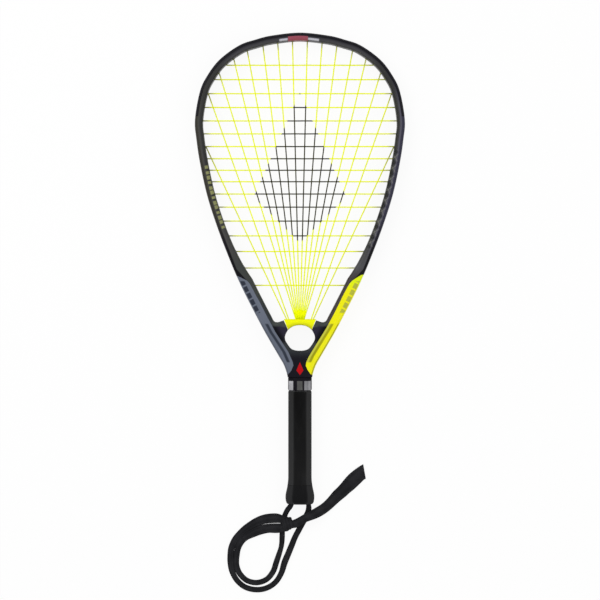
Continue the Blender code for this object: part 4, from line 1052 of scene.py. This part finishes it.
def saddle_ring(x_share):
    """One ring round the saddle, from its string side to its window side."""
    top = np.array((x_share * SADDLE_TOP_HALF, SADDLE_TOP_Y))
    foot_x = x_share * SADDLE_FOOT_HALF
    foot = np.array((foot_x, arch_y(foot_x)))
    length = np.linalg.norm(foot - top)
    slot = SLOT_DEPTH if abs(x_share) * SADDLE_TOP_HALF < SLOT_REACH else 0.0
    near = [0.0, 0.00007, 0.0003, 0.0008, SADDLE_ROUND]
    along = [*near, length * 0.38, length * 0.62, *[length - gap for gap in reversed(near)]]
    upper = [(slot, 0.0), (slot, SLOT_HALF), (0.0, SLOT_HALF)]
    for way in along:
        beam = half_beam((top + (foot - top) * way / length)[1])
        gap = min(way, length - way)
        upper.append((way, beam - rounding(gap, SADDLE_ROUND, SADDLE_DROP)))
    upper += [(length, SLOT_HALF), (length - slot, SLOT_HALF), (length - slot, 0.0)]
    ring = upper + [(way, -height) for way, height in reversed(upper)]
    ahead = (foot - top) / length
    return [(*(top + ahead * way), MID_Z + height) for way, height in ring]


slot_ends = [side * SLOT_REACH / SADDLE_TOP_HALF + gap for side in (-1, 1) for gap in (-1e-4, 1e-4)]
shares = np.sort([*np.linspace(-1.0, 1.0, 41), *slot_ends])
saddle_rings = np.array([saddle_ring(share) for share in shares])
ys = saddle_rings[:, :, 1]
tops = ys.max(axis=1, keepdims=True)
saddle_low = (tops - ys) / (tops - ys.min(axis=1, keepdims=True))
saddle_mesh = skinned("yellow_saddle", saddle_rings, marks={"low": saddle_low})

saddle_paint, place = new_finish("saddle_nylon", Specular_IOR_Level=0.08)
cloud = place.noise(90.0, 3.0)
grain = place.noise(2000.0, 2.0)
# Painted shade, darker towards the window where the saddle's face curves round, and a little patchy
shade = place.mark("low").rise(0.35, 1.0) * (0.75 + cloud * 0.4)
paint(
    saddle_paint,
    Base_Color=shade.blend(SADDLE_YELLOW, SADDLE_SHADE),
    Roughness=0.36 + cloud * 0.15,
    Normal=(grain + cloud * 2).bump(0.00006, 0.5),
)
add_piece(saddle_mesh, saddle_paint, "bridge_grommet")

# Strings
# Two lengths of smooth string, one for the mains and one for the crosses, woven over and under one
# another. They turn in the channel outside the hoop, and the mains also round the saddle.

STRING_WIDTH = 0.00154
STRING_SIDES = 8
WEAVE = 0.00062
STRING_LAYER = 0.0008
BRIDGE_PITCH = 0.00092
OUTER_MAINS = [0.0135, 0.016]
MOUTH_CLEARANCE = 0.0055
CORNER_EASE = 0.0011
SHARP_TURN = math.radians(35)
CHANNEL_STEP = 0.004
FOOT_REACH = 0.0074

main_runs = MAIN_HOLES + [CROSS_HOLES[2], CROSS_HOLES[6]]
bridge_x = [(i + 0.5) * BRIDGE_PITCH for i in range(len(MAIN_HOLES))] + OUTER_MAINS
main_order = [(i, 1) for i in reversed(range(8))] + [(i, -1) for i in range(8)]


def mouth(run, side):
    """Where a string leaves its barrel inside the hoop."""
    return edge_place(side * run, hoop_width(run) + BARREL_NUB + FIT)


def channel_way(start, stop, height):
    """A string's way along the channel outside the hoop, from one hole to another."""
    count = max(3, math.ceil(abs(stop - start) / CHANNEL_STEP))
    depth = STRING_WIDTH / 2 + FIT
    return [(*edge_place(run, depth), height) for run in np.linspace(start, stop, count)]


def woven_way(start, end, crossings, height, steps=6):
    """A string's way between two places, which goes over and under at the crossings.

    Each crossing is a share of the way and a height.
    """
    stops = [(0.0, height), *sorted(crossings), (1.0, height)]
    way = []
    for (share, low), (next_share, high) in zip(stops, stops[1:]):
        for t in np.arange(steps) / steps:
            bend = (1 - math.cos(math.pi * t)) / 2
            place = start + (end - start) * (share + (next_share - share) * t)
            way.append((*place, low + (high - low) * bend))
    return [*way, (*end, height)]


def eased(before, corner, after, ease, reach, shares):
    """Places on a small arc in a corner's stead, which takes a share of each side at most."""
    start, end = (
        corner + (other - corner).normalized() * min(ease, (other - corner).length * reach)
        for other in (before, after)
    )
    return [start * (1 - t) ** 2 + corner * 2 * t * (1 - t) + end * t * t for t in shares]


def turned(points):
    """The points with each sharp corner turned on a small arc."""
    points = [Vector(p) for p in points]
    made = [points[0]]
    for a, b, c in zip(points, points[1:], points[2:]):
        sharp = (b - a).angle(c - b, 0.0) >= SHARP_TURN
        made += eased(a, b, c, CORNER_EASE, 0.45, (0, 0.33, 0.67, 1)) if sharp else [b]
    return np.array([*made, points[-1]])


def crossing_height(main, cross):
    """How much higher the main is than the middle of the weave where it crosses a cross string."""
    number = 8 + main[0] if main[1] > 0 else 7 - main[0]
    return WEAVE if (number + cross) % 2 else -WEAVE


crossings_of_main = {main: [] for main in main_order}
crossings_of_cross = {j: [] for j in range(len(CROSS_HOLES))}
for main in main_order:
    top = mouth(main_runs[main[0]], main[1])
    foot = np.array((main[1] * bridge_x[main[0]], SADDLE_TOP_Y + FIT))
    for j, run in enumerate(CROSS_HOLES):
        right_mouth = mouth(run, 1)
        share = (right_mouth[1] - top[1]) / (foot[1] - top[1])
        x = top[0] + (foot[0] - top[0]) * share
        clear = share * np.linalg.norm(foot - top) > MOUTH_CLEARANCE
        if clear and abs(x) < right_mouth[0] - MOUTH_CLEARANCE:
            lift = crossing_height(main, j)
            crossings_of_main[main].append((share, MID_Z + lift))
            cross_share = (x + right_mouth[0]) / (2 * right_mouth[0])
            crossings_of_cross[j].append((cross_share, MID_Z - lift))


def main_string_way():
    """The mains' way. Neighbours in the slot lie in two layers, one over the other."""
    height = MID_Z - STRING_LAYER
    first = main_order[0]
    points = [(*edge_place(first[1] * main_runs[first[0]], CHANNEL_DEPTH / 2), height)]
    for step, main in enumerate(main_order):
        i, side = main
        x = side * bridge_x[i]
        foot = np.array((x, SADDLE_TOP_Y + FIT))
        way = woven_way(mouth(main_runs[i], side), foot, crossings_of_main[main], height)
        slot_height = MID_Z + (STRING_LAYER if (i + (side > 0)) % 2 else -STRING_LAYER)
        way[-1] = (*foot, slot_height)
        end_y = max(arch_y(x) + SLOT_DEPTH - STRING_WIDTH, SADDLE_TOP_Y - FOOT_REACH)
        way.append((x, end_y, slot_height))
        points += way if step % 2 == 0 else way[::-1]
        if step + 1 == len(main_order):
            points.append((*edge_place(side * main_runs[i], CHANNEL_DEPTH / 2), height))
        elif step % 2:
            following, other = main_order[step + 1]
            points += channel_way(side * main_runs[i], other * main_runs[following], height)
    return turned(points)


def cross_string_way():
    height = MID_Z + STRING_LAYER
    points = [(*edge_place(-CROSS_HOLES[0], CHANNEL_DEPTH / 2), height)]
    for j, run in enumerate(CROSS_HOLES):
        side = 1 if j % 2 == 0 else -1
        way = woven_way(mouth(run, -1), mouth(run, 1), crossings_of_cross[j], height)
        points += way if side > 0 else way[::-1]
        if j + 1 < len(CROSS_HOLES):
            points += channel_way(side * run, side * CROSS_HOLES[j + 1], height)
    points.append((*edge_place(side * run, CHANNEL_DEPTH / 2), height))
    return turned(points)


STRING_YELLOW = (0.94, 0.99, 0.003)
STRING_DEEP = (0.86, 0.94, 0.002)
STRING_GREYED = (0.3, 0.31, 0.12)
INK = (0.012, 0.01, 0.014)
STRING_KITE = (0.2095, 0.085, 0.0303, 0.0553)


def string_finish():
    """Smooth string, greyer near the hoop, with black stencil ink in the shape of a plain kite."""
    made, place = new_finish("string_and_ink", Specular_IOR_Level=0.04)
    x, y, z = place.split()
    cloud = place.noise(160.0, 3.0)
    streak = place.noise(900.0, 2.0)
    # Greyer close to the hoop's inner edge, over the upper part of the head
    darker_near_edge = place.mark("rim").rise(0.011, 0.001) * (0.35 + cloud * 0.9) * y.rise(-0.045, 0.01)
    colour = cloud.rise(0.35, 0.7).blend(STRING_YELLOW, STRING_DEEP)
    colour = darker_near_edge.least(0.85).blend(colour, STRING_GREYED)
    inked = kite(abs(x), y, *STRING_KITE).rise(-0.004, 0.012)
    ink = inked * z.rise(MID_Z - 0.0012, MID_Z - 0.0006) * (0.82 + streak * 0.3).least(1.0)
    paint(
        made,
        Base_Color=ink.blend(colour, INK),
        Roughness=0.3 + ink * 0.25 + cloud * 0.1,
        Normal=streak.bump(0.00004, 0.4),
    )
    return made


string_paint = string_finish()
whole_inner_line = both_halves(inner_line[:, :2], (-1.0, 1.0))
for name, node, path in (
    ("woven_mains", "main_string", main_string_way()),
    ("woven_crosses", "cross_string", cross_string_way()),
):
    rims = np.repeat(gap_to(path[:, :2], whole_inner_line)[0][:, None], STRING_SIDES, axis=1)
    rings = rings_round(path, STRING_WIDTH, STRING_WIDTH, STRING_SIDES)
    add_piece(skinned(name, rings, marks={"rim": rims}), string_paint, node)

# Pallets
# Two halves of rigid foam are glued round the tube and give the handle its eight sides. The rubber
# sleeve hides them.

FOAM_DARK = (0.3, 0.3, 0.31)
FOAM_PALE = (0.4, 0.4, 0.41)

foam_paint, place = new_finish("pallet_foam", Specular_IOR_Level=0.2)
cells = place.node("TexVoronoi", None, {"Vector": place, "Scale": 900.0})
mottle = place.noise(60.0, 3.0)
paint(
    foam_paint,
    Base_Color=mottle.rise(0.3, 0.7).blend(FOAM_DARK, FOAM_PALE),
    Roughness=0.86 + mottle * 0.1,
    Normal=cells.bump(0.0003, 0.7),
)


def refinish(finish, *nodes):
    """Gives CAD nodes that stay as they are another material."""
    for node in nodes:
        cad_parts[node].data.materials.clear()
        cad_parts[node].data.materials.append(finish)


refinish(foam_paint, "front_pallet", "back_pallet")

# Grip
# A smooth black rubber sleeve, pulled over the pallets. It follows their eight sides, which it
# softens at the corners.

GRIP_TOP_Y = -0.1451
GRIP_SIZE = (0.0277, 0.0246, 0.0065)
GRIP_EDGE = 0.003


def handle_ring(y, width, height, facet, edge=GRIP_EDGE):
    """One ring round the handle: an oblong with its corners cut off and every edge eased."""
    x, z = width / 2, height / 2
    corners = [(x, facet - z), (x, z - facet), (x - facet, z), (facet - x, z)]
    corners = [Vector(corner) for corner in corners + [(-a, -b) for a, b in corners]]
    ring = []
    for before, corner, after in zip(corners[-1:] + corners, corners, corners[1:] + corners):
        ring += eased(before, corner, after, edge, 0.48, np.linspace(0.0, 1.0, 4))
    return [(a, y, MID_Z + b) for a, b in ring]


def handle_skin(name, top_y, stations, **style):
    """A skin round the handle. Each station is a distance below the top and the ring's sizes."""
    return skinned(name, [handle_ring(top_y - down, *size, **style) for down, *size in stations])


def narrowed(size, places):
    """Stations with a size that is narrower by some gap all round, at each distance down."""
    width, height, facet = size
    return [(down, width - 2 * gap, height - 2 * gap, facet) for down, gap in places]


GRIP_TOP_EDGE = [(0.0, 0.0011), (0.00005, 0.0007), (0.0003, 0.0003), (0.0009, 0.00005)]
GRIP_FLARE = [
    (0.1039, 0.0278, 0.0246, 0.0065), (0.1059, 0.028, 0.0247, 0.0066),
    (0.1079, 0.0284, 0.0249, 0.0067), (0.1099, 0.0289, 0.025, 0.0068),
    (0.1115, 0.0294, 0.0252, 0.0069), (0.1116, 0.0292, 0.025, 0.0069),
]
grip_places = GRIP_TOP_EDGE + [(down, 0.0) for down in np.linspace(0.002, 0.1019, 22)]
grip_mesh = handle_skin("rubber_grip", GRIP_TOP_Y, narrowed(GRIP_SIZE, grip_places) + GRIP_FLARE)

RUBBER_DARK = (0.0016, 0.0016, 0.0017)
RUBBER_SHEEN_AND_DUST = (0.03, 0.03, 0.0305)


def rubber_finish(name, dark, pale):
    """Soft black rubber, dull and a little dusty, with a very fine grain. The faces that turn to the
    sides are paler with painted sheen, and it is paler towards the butt.
    """
    made, place = new_finish(name, Specular_IOR_Level=0.08)
    y = place.split()[1]
    facing = place.node("NewGeometry", None, None, 1).split()[2]
    dust = place.noise(55.0, 4.0, (1.0, 0.35, 1.0))
    grain = place.noise(3200.0, 2.0)
    # Painted sheen on the faces that turn to the sides; paler towards the butt, and in dusty patches
    sides = abs(facing).rise(0.985, 0.8)
    lower = y.rise(-0.15, -0.25)
    shade = sides * 0.85 + dust.rise(0.42, 0.68) * 0.18 + lower * 0.2
    paint(
        made,
        Base_Color=shade.least(1.0).blend(dark, pale),
        Roughness=0.6 + dust * 0.16,
        Normal=(grain * 0.7 + dust).bump(0.00012, 0.5),
    )
    return made


grip_rubber = rubber_finish("grip_rubber", RUBBER_DARK, RUBBER_SHEEN_AND_DUST)
add_piece(grip_mesh, grip_rubber, "grip")

# Grip collar
# A satin rubber band that closes the top of the sleeve against the neck, printed with three plain
# pale blocks.

COLLAR_TOP_Y = -0.1291
COLLAR_SIZE = (0.0281, 0.0252, 0.0065)
COLLAR_PLACES = [
    (0.0, 0.0008), (0.0001, 0.0004), (0.0004, 0.0001), (0.001, 0.0), (0.008, 0.0),
    (0.0135, 0.0), (0.0147, 0.0003), (0.0154, 0.0007), (0.0157, 0.0012),
]
COLLAR_DARK = (0.004, 0.003, 0.006)
COLLAR_PALE = (0.0075, 0.0065, 0.0105)
BLOCK_GREY = (0.13, 0.13, 0.125)
BLOCK_WHITE = (0.57, 0.57, 0.6)

collar_paint, place = new_finish("collar_rubber", Specular_IOR_Level=0.08)
x, y, z = place.split()
grain = place.noise(1500.0, 3.0)
cloud = place.noise(70.0, 3.0)
rows = y.between(-0.1441, -0.1332, 0.0003) * z.rise(MID_Z + 0.004, MID_Z + 0.0045)
white = x.between(-0.0133, -0.008, 0.0004).most(x.between(0.0096, 0.013, 0.0006) * 0.8)
white = white.most(x.between(0.0052, 0.0096, 0.0006) * 0.55)
grey = x.between(-0.0034, 0.003, 0.0004)
patchy = cloud.rise(0.25, 0.75) * 0.35
tone = cloud.blend(COLLAR_DARK, COLLAR_PALE)
tone = (grey * rows * (0.9 - patchy)).blend(tone, BLOCK_GREY)
tone = (white * rows * (0.95 - patchy)).blend(tone, BLOCK_WHITE)
paint(
    collar_paint,
    Base_Color=tone,
    Roughness=0.5 + cloud * 0.15,
    Normal=(grain * 0.4 + rows * white).bump(0.00008, 0.5),
)
collar_stations = narrowed(COLLAR_SIZE, COLLAR_PLACES)
collar_mesh = handle_skin("neck_collar", COLLAR_TOP_Y, collar_stations)
add_piece(collar_mesh, collar_paint, "grip_collar")

# Butt cap
# A moulded cap that is stapled to the pallets under the sleeve and flares at the butt, so that the
# hand doesn't slip off. The wrist lace leaves it through two holes in its end.

CAP_TOP_Y = -0.257
# In millimetres: distance below the top, width, height and facet
CAP_PROFILE = [
    (0, 29.3, 25, 6.9), (0.1, 29.5, 25.2, 6.9), (2, 30.1, 25.4, 7.1), (4, 30.9, 25.7, 7.3),
    (6, 31.8, 26, 7.5), (8, 32.7, 26.4, 7.7), (9.8, 33.4, 26.7, 7.9), (11.4, 34, 26.9, 8),
    (13, 34.2, 27, 8), (15, 34.2, 27, 8), (17, 33.9, 26.8, 7.9), (19, 33.2, 26.3, 7.7),
    (20.4, 32.2, 25.6, 7.4), (21.4, 31, 24.8, 7.1), (22.1, 29.6, 23.8, 6.8), (22.4, 28, 22.6, 6.6),
]
CAP_EDGE = 0.0036
LACE_HOLE_RADIUS = 0.0033
LACE_HOLE_DEPTH = 0.004
LACE_HOLE_SIDES = 28
CAP_DARK = (0.0012, 0.0012, 0.0017)
CAP_SHEEN_AND_DUST = (0.0235, 0.0235, 0.0245)


def carved(mesh, cutters):
    """What is left of a mesh, under its name, once closed meshes are cut out of it."""
    name, body = mesh.name, added("carved", mesh)
    holders = []
    for cutter in cutters:
        holder = added("cutter", cutter)
        step = body.modifiers.new("cut", "BOOLEAN")
        step.operation, step.solver, step.object = "DIFFERENCE", "EXACT", holder
        holders.append(holder)
    shown = body.evaluated_get(bpy.context.evaluated_depsgraph_get())
    made = bpy.data.meshes.new_from_object(shown)
    for holder in (body, *holders):
        old = holder.data
        bpy.data.objects.remove(holder)
        bpy.data.meshes.remove(old)
    made.name = name
    made.set_sharp_from_angle(angle=CREASE)
    return made


def round_bar(x, low, high, radius):
    angles = 2 * np.pi * np.arange(LACE_HOLE_SIDES) / LACE_HOLE_SIDES
    circle = np.column_stack([np.cos(angles), 0 * angles, np.sin(angles)]) * radius
    return skinned("round_bar", [circle + (x, y, MID_Z) for y in (low, high)])


cap_mesh = handle_skin("flared_cap", CAP_TOP_Y, np.array(CAP_PROFILE) / 1000, edge=CAP_EDGE)
holes = [
    round_bar(side * LACE_HALF_SPACING, BUTT_Y - 0.002, BUTT_Y + LACE_HOLE_DEPTH, LACE_HOLE_RADIUS)
    for side in (-1, 1)
]
cap_rubber = rubber_finish("cap_rubber", CAP_DARK, CAP_SHEEN_AND_DUST)
add_piece(carved(cap_mesh, holes), cap_rubber, "butt_cap")

# Staples
# Two steel staples hold the cap's skirt to the pallets, one in front and one at the back, where
# the sleeve hides them.

STEEL_DARK = (0.48, 0.48, 0.49)
STEEL_PALE = (0.64, 0.64, 0.64)

steel, place = new_finish("staple_wire", Metallic=1.0)
brushed = place.noise(700.0, 3.0, (0.1, 1.0, 1.0))
paint(
    steel,
    Base_Color=brushed.rise(0.3, 0.7).blend(STEEL_DARK, STEEL_PALE),
    Roughness=0.28 + brushed * 0.2,
    Normal=brushed.bump(0.00003, 0.4),
)
refinish(steel, "front_staple", "back_staple")
